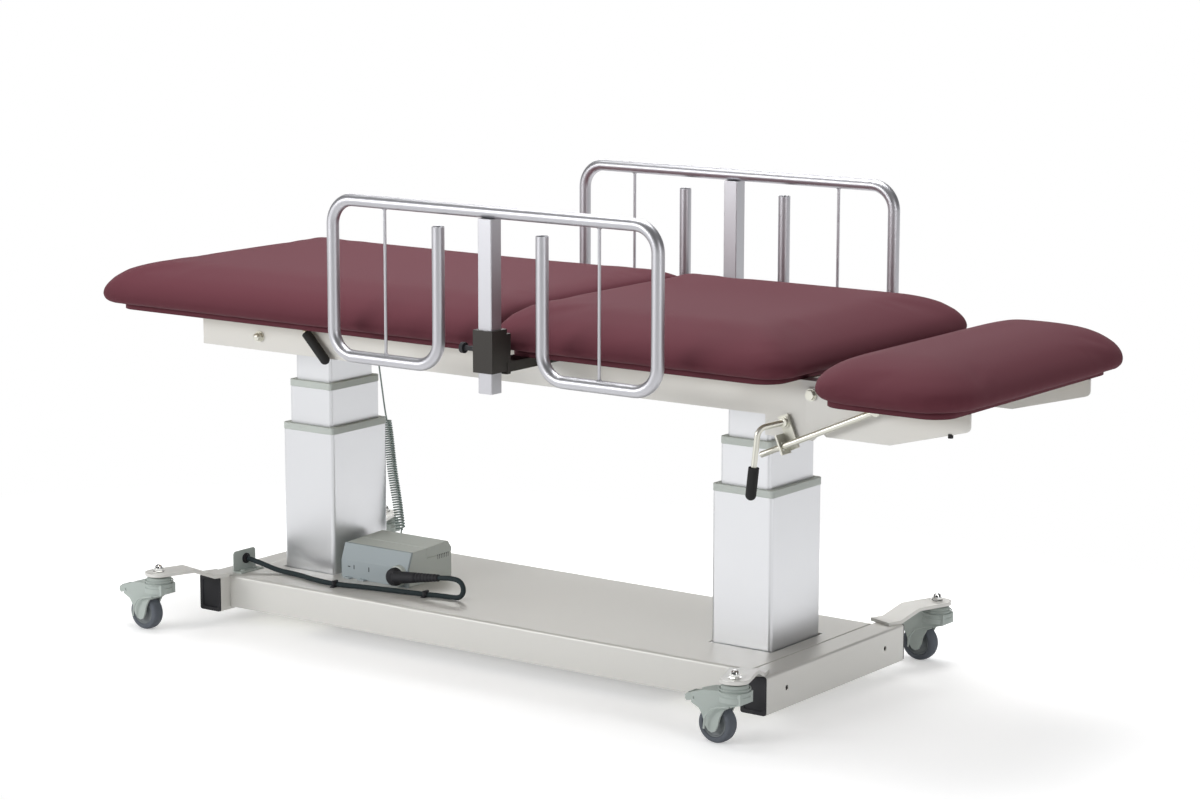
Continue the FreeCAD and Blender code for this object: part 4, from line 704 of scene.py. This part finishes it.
def add_plug(line):
    """The angled plug: a round face with a grip step, a long neck and a ribbed tail."""
    centre = Vector((PLUG_X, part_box("power_plug")[1].y, PLUG_Z))
    face = [(0.0001, 0.0), (0.0192, 0.0), (0.0200, -0.0010), (0.0200, -0.0060), (0.0188, -0.0068),
            (0.0188, -0.0100), (0.0180, -0.0135), (0.0150, -0.0163), (0.0090, -0.0170),
            (0.0001, -0.0170)]
    pieces = [lathe(face, centre, "Y", 48)]
    end = line[-1]
    elbow = centre + Vector((0, -0.012, 0))
    way = (end - elbow).normalized()
    span = (end - elbow).length - 0.0012
    neck = [(0.0001, 0.006), (0.0128, 0.0062), (0.0140, 0.010)]
    start = span * NECK_SHARE
    neck += [(0.0140 - 0.0030 * t / 8, 0.010 + (start - 0.010) * t / 8) for t in range(1, 9)]
    step = (span - start) / PLUG_RIBS
    for i in range(PLUG_RIBS):
        thick = 0.0108 - 0.0033 * (i + 0.5) / PLUG_RIBS
        at = start + i * step
        neck += [(thick - 0.0012, at + step * 0.08), (thick - 0.0012, at + step * 0.30),
                 (thick, at + step * 0.42), (thick, at + step * 0.88), (thick - 0.0006, at + step)]
    neck += [(0.0056, span), (0.0001, span)]
    pieces.append(turned_to(lathe(neck, (0, 0, 0), "Z", 40), elbow, way))
    return add_object("visual_power_plug", together(pieces, "power_plug_body"), "black_plastic",
                      "base", ["power_plug"])


class TABLE_OT_cords(bpy.types.Operator):
    """Add the power cord and the curly control cord"""
    bl_idname = "table.cords"
    bl_label = "Cords"

    def execute(self, context):
        s = settings()
        line = path_points(POWER_ROUTE)
        plug = add_plug(line)
        add_cord_ties(line)
        cord = spline_curve("visual_power_cord", POWER_ROUTE, s.cord_width)
        cord.data.materials.append(material("cord_vinyl"))
        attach(cord, "base")
        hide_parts("power_cord")

        route = curly_route()
        line = path_points(route)
        tube = evaluated(spline_curve("curl", route, s.curl_wire), "curly_cord_tube")
        tube.shade_smooth()
        curl = add_object("visual_curly_cord", tube, "cord_grey", None, ["curly_cord"])
        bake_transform(curl)
        return {"FINISHED"}


# Base

class TABLE_OT_base(bpy.types.Operator):
    """Add the platform, the cross tubes and the cord's bracket"""
    bl_idname = "table.base"
    bl_label = "Base"

    def execute(self, context):
        dress_all([("base_platform", "white_steel"), ("cross_tubes", "white_steel", 0.0006),
                   ("cross_tube_caps", "black_plastic", 0.0015),
                   ("column_mount_plates", "zinc_steel"), ("cord_clips", "black_plastic", 0.0005),
                   ("cord_bracket", "caster_grey", 0.0006),
                   ("power_inlet", "black_plastic", 0.0006)])
        return {"FINISHED"}


class TABLE_OT_columns(bpy.types.Operator):
    """Add the lifting columns with their collars, screws and motors"""
    bl_idname = "table.columns"
    bl_label = "Columns"

    def execute(self, context):
        dress_all([("outer_stages", "column_aluminium", 0.0005),
                   ("middle_stages", "column_aluminium", 0.0005),
                   ("inner_stages", "column_aluminium", 0.0005),
                   ("outer_collars", "collar_plastic", 0.0012),
                   ("middle_collars", "collar_plastic", 0.0012),
                   ("lift_screws", "zinc_steel"), ("lift_motors", "motor_grey"),
                   ("column_top_plates", "zinc_steel")])
        return {"FINISHED"}


CASTER_TRAIL = 0.038
TYRE_HALF = [(0.0255, -0.0105), (0.0262, -0.0135), (0.029, -0.014), (0.033, -0.0138),
             (0.0358, -0.0118), (0.0374, -0.008), (0.038, -0.003)]
DISC_HALF = [(0.0042, -0.0155), (0.0082, -0.0155), (0.0092, -0.0145), (0.0102, -0.0105),
             (0.0120, -0.0095), (0.0205, -0.0095), (0.0222, -0.0103), (0.0232, -0.0125),
             (0.0255, -0.0125), (0.0262, -0.0110)]
CHEEK_RIB = [(-0.012, -0.006), (-0.010, 0.016), (0.002, 0.033), (0.020, 0.040), (0.046, 0.044)]


def add_wheel(corner):
    """A grey tyre on a paler disc, both turning with the wheel."""
    node = "caster_wheel_" + corner
    body = "wheel_" + corner
    low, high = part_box(node)
    centre = (low + high) / 2
    add_object("visual_tyre_" + corner, lathe(closed(TYRE_HALF), centre), "caster_tyre", body,
               [node])
    add_object("visual_disc_" + corner, lathe(closed(DISC_HALF), centre), "caster_tyre", body,
               [node], "wheel_disc")


def add_fork_details(corner):
    """The raised rib on each cheek, the rings of the neck and the ridges of the pedal."""
    low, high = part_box("caster_fork_" + corner)
    wheel_low, wheel_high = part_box("caster_wheel_" + corner)
    axle = (wheel_low + wheel_high) / 2
    stem_x = axle.x + CASTER_TRAIL
    body = "fork_" + corner
    pieces = []
    for y in (low.y, high.y):
        rib = [(axle.x + dx, y, axle.z + dz) for dx, dz in CHEEK_RIB]
        pieces.append(tube_mesh(rib, 0.018, 0.0019, 12, "caster_grey"))
    for z, radius in ((high.z - 0.0075, 0.0306), (high.z - 0.0135, 0.0312)):
        ring = [(radius - 0.001, -0.0014), (radius + 0.0004, -0.0010), (radius + 0.0008, 0.0),
                (radius + 0.0004, 0.0010), (radius - 0.001, 0.0014), (radius - 0.001, -0.0014)]
        pieces.append(lathe(ring, (stem_x, axle.y, z), "Z", 48))
    add_object("visual_fork_ribs_" + corner, together(pieces, "fork_ribs"), "caster_grey", body)
    pedal_low, pedal_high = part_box("caster_pedal_" + corner)
    width = (pedal_high.y - pedal_low.y) * 0.7
    spots = [(pedal_low.x + 0.006 + 0.004 * i, axle.y, pedal_high.z - 0.0004) for i in range(4)]
    ridges = [flush_plate(0.0018, width, 0.0012, spot, (0, 0, 1), (0, 1, 0)) for spot in spots]
    add_object("visual_pedal_ridges_" + corner, together(ridges, "pedal_ridges"), "caster_grey",
               "pedal_" + corner)


class TABLE_OT_casters(bpy.types.Operator):
    """Add the four braked casters and their arms"""
    bl_idname = "table.casters"
    bl_label = "Casters"

    def execute(self, context):
        dress_all([("caster_arms", "white_steel", 0.0012),
                   ("caster_stems", "zinc_steel", 0.0006, "chrome")])
        for corner in ("head_near", "head_far", "foot_near", "foot_far"):
            dress("caster_fork_" + corner, "caster_grey", 0.0014)
            dress("caster_pedal_" + corner, "caster_grey", 0.001)
            add_wheel(corner)
            add_fork_details(corner)
        return {"FINISHED"}


# Frames and levers

class TABLE_OT_frames(bpy.types.Operator):
    """Add the top frame, the back and foot frames, the levers and the bolts"""
    bl_idname = "table.frames"
    bl_label = "Frames"

    def execute(self, context):
        dress_all([("top_frame", "white_steel", 0.0007), ("back_frame", "white_steel", 0.0007),
                   ("foot_frame", "white_steel", 0.0009),
                   ("frame_bolts", "zinc_steel", 0.0006), ("gas_spring_body", "black_metal"),
                   ("gas_spring_rod", "zinc_steel"), ("release_lever", "zinc_steel"),
                   ("release_lever_grip", "black_rubber"), ("foot_support_bar", "zinc_steel"),
                   ("lock_bracket", "zinc_steel"), ("lock_lever", "zinc_steel"),
                   ("lock_lever_grip", "black_rubber"), ("foot_bumpers", "black_rubber"),
                   ("rail_brackets", "black_metal", 0.0015)])
        return {"FINISHED"}


# Rails

RAIL_X, RAIL_Y = 0.0725, 0.431
RAIL_TOP, RAIL_LOW, UPRIGHT_TOP = 0.986, 0.669, 0.948
RAIL_OUT, RAIL_IN = 0.398, 0.1275
TUBE_WALL = 0.0016
TUBE_SIDES = 36
ROD_RADIUS, ROD_SIDES = 0.0032, 20


def add_rail(name, side):
    """A rail: its bent tube, thin rods and square post."""
    s = settings()
    y = side * RAIL_Y
    left, right = RAIL_X - RAIL_OUT, RAIL_X + RAIL_OUT
    corners = [(RAIL_X - RAIL_IN, y, UPRIGHT_TOP), (RAIL_X - RAIL_IN, y, RAIL_LOW),
               (left, y, RAIL_LOW), (left, y, RAIL_TOP), (right, y, RAIL_TOP),
               (right, y, RAIL_LOW), (RAIL_X + RAIL_IN, y, RAIL_LOW),
               (RAIL_X + RAIL_IN, y, UPRIGHT_TOP)]
    outside = tube_mesh(corners, s.tube_bend, s.tube_radius, TUBE_SIDES)
    bore = s.tube_radius - TUBE_WALL
    inside = tube_mesh(corners, s.tube_bend, bore, TUBE_SIDES)
    inside.flip_normals()
    rim = [(bore, 0.0), (bore + 0.0003, 0.0004), (s.tube_radius - 0.0003, 0.0004),
           (s.tube_radius, 0.0)]
    lips = [lathe(rim, (x, y, UPRIGHT_TOP), "Z", TUBE_SIDES)
            for x in (RAIL_X - RAIL_IN, RAIL_X + RAIL_IN)]
    tube = together([outside, inside, *lips], name + "_tube")
    add_object("visual_" + name + "_tube", tube, "silver_tube", name + "_side_rail",
               [name + "_rail"])
    rods = []
    for sign in (-1, 1):
        x = RAIL_X + sign * (RAIL_OUT + RAIL_IN) / 2
        rods.append(tube_mesh([(x, y, RAIL_LOW + 0.0125), (x, y, RAIL_TOP - 0.0125)], 0.0,
                              ROD_RADIUS, ROD_SIDES))
        for z, way in ((RAIL_LOW + 0.0122, 1), (RAIL_TOP - 0.0122, -1)):
            weld = [(0.0062, -0.0006 * way), (0.0048, 0.0012 * way), (0.0034, 0.0026 * way)]
            rods.append(lathe(weld, (x, y, z), "Z", ROD_SIDES))
    add_object("visual_" + name + "_rods", together(rods, name + "_rods"), "silver_tube",
               name + "_side_rail", [name + "_rail"])
    add_object("visual_" + name + "_post", rounded(post_mesh(name), 0.0004), "silver_tube",
               name + "_side_rail", [name + "_rail"])


def post_mesh(name):
    """A rail's square post, cut out of its solid."""
    post = bmesh.new()
    post.from_mesh(frame["nodes"][name + "_rail"].data)
    bmesh.ops.remove_doubles(post, verts=post.verts, dist=WELD)
    away = [v for v in post.verts if abs(v.co.x - RAIL_X) > 0.02]
    bmesh.ops.delete(post, geom=away, context="VERTS")
    over = [v for v in post.verts if v.co.z > RAIL_TOP - 0.0126]
    bmesh.ops.delete(post, geom=over, context="VERTS")
    bmesh.ops.dissolve_limit(post, angle_limit=math.radians(FLAT_ANGLE), verts=post.verts,
                             edges=post.edges)
    return mesh_of(post, name + "_post")


class TABLE_OT_rails(bpy.types.Operator):
    """Add the two side rails and their plungers"""
    bl_idname = "table.rails"
    bl_label = "Rails"

    def execute(self, context):
        for name, side in (("near", -1), ("far", 1)):
            add_rail(name, side)
            dress(name + "_plunger", "black_plastic", 0.001)
        return {"FINISHED"}


# Control box

def flush_plate(width, height, depth, place, toward, up=(0, 0, 1)):
    """A thin plate with soft edges on a face, turned to face outwards."""
    mesh = block((width, height, depth), "flush_plate")
    ahead = Vector(toward).normalized()
    side = Vector(up).cross(ahead).normalized()
    turn = Matrix((side, ahead.cross(side), ahead)).transposed().to_4x4()
    mesh.transform(Matrix.Translation(place) @ turn)
    return rounded(mesh, min(width, height, depth) * 0.3)


class TABLE_OT_control_box(bpy.types.Operator):
    """Add the control box with its socket, marks, vents and feet"""
    bl_idname = "table.control_box"
    bl_label = "Control box"

    def execute(self, context):
        dress_all([("control_box_case", "box_plastic", 0.0022),
                   ("control_box_front", "box_front_plastic", 0.0012),
                   ("control_box_cover", "box_plastic", 0.0016)])
        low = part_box("control_box_case")[0]
        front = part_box("control_box_front")[0].y
        marks = [flush_plate(w, h, 0.0006, (low.x + x, front, low.z + z), (0, -1, 0))
                 for x, z, w, h in ((0.022, 0.026, 0.007, 0.0022), (0.036, 0.026, 0.0022, 0.009),
                                    (0.078, 0.026, 0.0022, 0.010))]
        add_object("visual_box_marks", together(marks, "box_marks"), "black_plastic", "base")
        cover_low, cover_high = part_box("control_box_cover")
        slots = [flush_plate(0.0016, 0.010, 0.0006, (cover_high.x - 0.0002, y, cover_low.z - 0.004),
                             (1, 0, 0))
                 for y in [cover_high.y - 0.012 - 0.006 * i for i in range(7)]]
        add_object("visual_box_vents", together(slots, "box_vents"), "black_plastic", "base")
        tabs = [flush_plate(0.018, 0.012, 0.003, (x, front - 0.004, low.z + 0.0016), (0, 0, 1),
                            (0, 1, 0)) for x in (low.x + 0.022, low.x + 0.062)]
        add_object("visual_box_feet", together(tabs, "box_feet"), "box_front_plastic", "base")
        return {"FINISHED"}


# Pads

HINGE_X = 0.0175
PAD_FLOOR, FOOT_PAD_FLOOR = 0.705, 0.678
PRESSURE = 4.0
CLOTH_STEPS = 20
STAPLE_INSET = 0.006


def smooth_shell(nodes, cell, rounds, floor):
    """An even mesh round CAD pads, smoothed but for its flat underside."""
    obj = loose(merged(nodes, 0.0))
    modify(obj, "REMESH", mode="VOXEL", voxel_size=cell)
    mesh = evaluated(obj, nodes[0] + "_shell")
    flat = [vertex.index for vertex in mesh.vertices if vertex.co.z < floor + 0.003]
    mesh = smoothed(mesh, rounds)
    for i in flat:
        mesh.vertices[i].co.z = floor
    return mesh


def smoothed(mesh, rounds):
    """The mesh with its surface relaxed."""
    obj = loose(mesh)
    modify(obj, "SMOOTH", factor=0.5, iterations=rounds)
    return evaluated(obj, mesh.name)


def crown(mesh, floor, square_ends):
    """Slope the top down towards the edges, as foam under a tight cover is."""
    s = settings()
    rim = [v.co.copy() for v in mesh.vertices if abs(v.normal.z) < 0.35
           and not any(abs(v.co.x - x) < 0.03 for x in square_ends)]
    tree = kdtree.KDTree(len(rim))
    for i, place in enumerate(rim):
        tree.insert((place.x, place.y, 0), i)
    tree.balance()
    for vertex in mesh.vertices:
        distance = tree.find((vertex.co.x, vertex.co.y, 0))[2]
        part = 1 - min(1.0, distance / s.pad_slope)
        share = s.pad_edge + (1 - s.pad_edge) * (1 - part ** 2.2)
        vertex.co.z = floor + (vertex.co.z - floor) * share


def inflate(obj, floor, rise):
    """Press the cover out from inside, held along its tucked underside."""
    mesh = obj.data
    before = [vertex.co.copy() for vertex in mesh.vertices]
    group = obj.vertex_groups.new(name="held")
    for vertex in mesh.vertices:
        weight = 1.0 - min(1.0, max(0.0, (vertex.co.z - floor - 0.004) / 0.014))
        if weight > 0:
            group.add([vertex.index], weight, "REPLACE")
    cloth = modify(obj, "CLOTH")
    cloth.settings.quality = 3
    cloth.settings.mass = 0.4
    cloth.settings.tension_stiffness = 25
    cloth.settings.compression_stiffness = 25
    cloth.settings.shear_stiffness = 10
    cloth.settings.bending_stiffness = 4
    cloth.settings.use_pressure = True
    cloth.settings.uniform_pressure_force = PRESSURE
    cloth.settings.vertex_group_mass = "held"
    cloth.settings.effector_weights.gravity = 0
    cloth.point_cache.frame_start = 1
    cloth.point_cache.frame_end = CLOTH_STEPS
    for step in range(1, CLOTH_STEPS + 1):
        bpy.context.scene.frame_set(step)
        bpy.context.view_layer.update()
    graph = bpy.context.evaluated_depsgraph_get()
    after = [vertex.co.copy() for vertex in obj.evaluated_get(graph).data.vertices]
    obj.modifiers.remove(cloth)
    obj.vertex_groups.clear()
    bpy.context.scene.frame_set(1)
    for vertex, old, new in zip(mesh.vertices, before, after):
        move = new - old
        vertex.co = old + move * (rise / (rise + move.length))


def pucker(mesh, floor):
    """Small pulls of the cover along the lower edge, where it is drawn under the board."""
    normals = [vertex.normal.copy() for vertex in mesh.vertices]
    for vertex, normal in zip(mesh.vertices, normals):
        low = max(0.0, 1 - abs(vertex.co.z - floor - 0.012) / 0.022)
        if low > 0 and normal.z < 0.75:
            place = Vector((vertex.co.x * 24, vertex.co.y * 24, vertex.co.z * 9))
            pull = noise.noise(place) + 0.5 * noise.noise(place * 2.3)
            vertex.co += normal * 0.0013 * low * pull


def add_pad(name, nodes, body, floor, square_ends):
    """A crowned pad under a stretched vinyl cover."""
    s = settings()
    mesh = smooth_shell(nodes, s.pad_cell, 10, floor)
    crown(mesh, floor, square_ends)
    obj = add_object(name, smoothed(mesh, 2), "vinyl", None, nodes)
    inflate(obj, floor, s.pad_rise)
    modify(obj, "SMOOTH", factor=0.5, iterations=3)
    modify(obj, "SUBSURF", levels=1, render_levels=1)
    final = mesh_now(obj)
    obj.modifiers.clear()
    obj.data = final
    pucker(final, floor)
    final.shade_smooth()
    if body:
        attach(obj, body)
    return obj


def staple_group():
    """Staples in a row along a closed line."""
    tree = Tree("staple_row", [("Spacing", "Float", 0.04), ("Length", "Float", 0.011),
                               ("Wire", "Float", 0.0009), ("Material", "Material", None)])
    line = tree.add("GeometryNodeMeshToCurve", {"Mesh": tree.input["Geometry"]})
    spots = tree.add("GeometryNodeResampleCurve", {"Curve": line, "Length": tree.input["Spacing"]},
                     mode="LENGTH")
    size = tree.add("ShaderNodeCombineXYZ", {"X": tree.input["Length"], "Y": tree.input["Wire"],
                                             "Z": tree.input["Wire"]})
    staple = tree.add("GeometryNodeMeshCube", {"Size": size})
    along = tree.add("GeometryNodeInputTangent", {})
    turn = tree.add("FunctionNodeAlignRotationToVector", {"Vector": along}, axis="X")
    row = tree.add("GeometryNodeInstanceOnPoints", {"Points": spots, "Instance": staple,
                                                    "Rotation": turn})
    return tree.finish(row)


def row_line(rim):
    """A closed line a little inside a rim, where the staples stand."""
    centre = sum(rim, Vector()) / len(rim)
    line = []
    for before, place, after in zip(rim[-1:] + rim, rim, rim[1:] + rim[:1]):
        if (place - before).length > 0.0005:
            side = Vector((0, 0, 1)).cross((after - before).normalized())
            if side.dot(place - centre) < 0:
                side = -side
            line.append(place + side * STAPLE_INSET + Vector((0, 0, -0.0006)))
    mesh = bpy.data.meshes.new("staple_line")
    mesh.from_pydata(line, [(i, (i + 1) % len(line)) for i in range(len(line))], [])
    return mesh


def add_board(node, body):
    """A board with the cover drawn in under its edge and stapled there."""
    s = settings()
    work = bmesh.new()
    work.from_mesh(merged([node]))
    high = max(v.co.z for v in work.verts)
    low = min(v.co.z for v in work.verts)
    bottom = [f for f in work.faces if f.normal.z < -0.9]
    outer = {v for v in work.verts if v.co.z < low + 0.001}
    bmesh.ops.inset_region(work, faces=bottom, thickness=s.hem, use_even_offset=True)
    for vertex in outer:
        vertex.co.z = high - 0.0008
    mesh = bpy.data.meshes.new(node + "_board")
    work.to_mesh(mesh)
    add_object("visual_" + node, mesh, "plywood", body, [node])
    rim = [v.co.copy() for v in bottom[0].verts]
    bmesh.ops.delete(work, geom=[f for f in work.faces if abs(f.normal.z) > 0.999],
                     context="FACES")
    hem = mesh_of(work, node + "_hem")
    hem.shade_smooth()
    obj = loose(hem)
    modify(obj, "SOLIDIFY", thickness=0.0014, offset=1.0)
    add_object("visual_" + node + "_hem", evaluated(obj, node + "_hem"), "vinyl", body)
    row = grown(row_line(rim), staple_group(), {"Material": material("zinc_steel")},
                node + "_staples")
    add_object("visual_" + node + "_staples", row, "zinc_steel", body)


class TABLE_OT_pads(bpy.types.Operator):
    """Add the three pads and the boards under them"""
    bl_idname = "table.pads"
    bl_label = "Pads"

    def execute(self, context):
        head = add_pad("visual_head_pad", ["head_pad", "head_pad_nose"], None, PAD_FLOOR,
                       [HINGE_X])
        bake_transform(head)
        add_pad("visual_seat_pad", ["seat_pad"], "top", PAD_FLOOR, [HINGE_X])
        add_pad("visual_foot_pad", ["foot_pad"], "foot_section", FOOT_PAD_FLOOR, [])
        for node, body in (("head_board", "back_section"), ("seat_board", "top"),
                           ("foot_board", "foot_section")):
            add_board(node, body)
        return {"FINISHED"}


class TABLE_PT_panel(bpy.types.Panel):
    """The table's sizes, colours and parts"""
    bl_label = "Examination table"
    bl_idname = "TABLE_PT_panel"
    bl_space_type = "VIEW_3D"
    bl_region_type = "UI"
    bl_category = "Table"

    def draw(self, context):
        for name in TableSettings.__annotations__:
            self.layout.prop(context.scene.table_settings, name)
        for operator in OPERATORS:
            self.layout.operator(operator.bl_idname)


OPERATORS = (TABLE_OT_stage, TABLE_OT_cords, TABLE_OT_base, TABLE_OT_columns, TABLE_OT_casters,
             TABLE_OT_frames, TABLE_OT_rails, TABLE_OT_control_box, TABLE_OT_pads)
CLASSES = (TableSettings, *OPERATORS, TABLE_PT_panel)


def register():
    """Register the settings, the operators and the panel."""
    for item in CLASSES:
        bpy.utils.register_class(item)
    bpy.types.Scene.table_settings = PointerProperty(type=TableSettings)


def unregister():
    """Take the panel, the operators and the settings away."""
    del bpy.types.Scene.table_settings
    for item in reversed(CLASSES):
        bpy.utils.unregister_class(item)


def main():
    """Build the whole table."""
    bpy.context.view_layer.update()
    register()
    bpy.ops.table.stage()
    bpy.ops.table.cords()
    bpy.ops.table.base()
    bpy.ops.table.columns()
    bpy.ops.table.casters()
    bpy.ops.table.frames()
    bpy.ops.table.rails()
    bpy.ops.table.control_box()
    bpy.ops.table.pads()


if __name__ == "__main__":
    main()
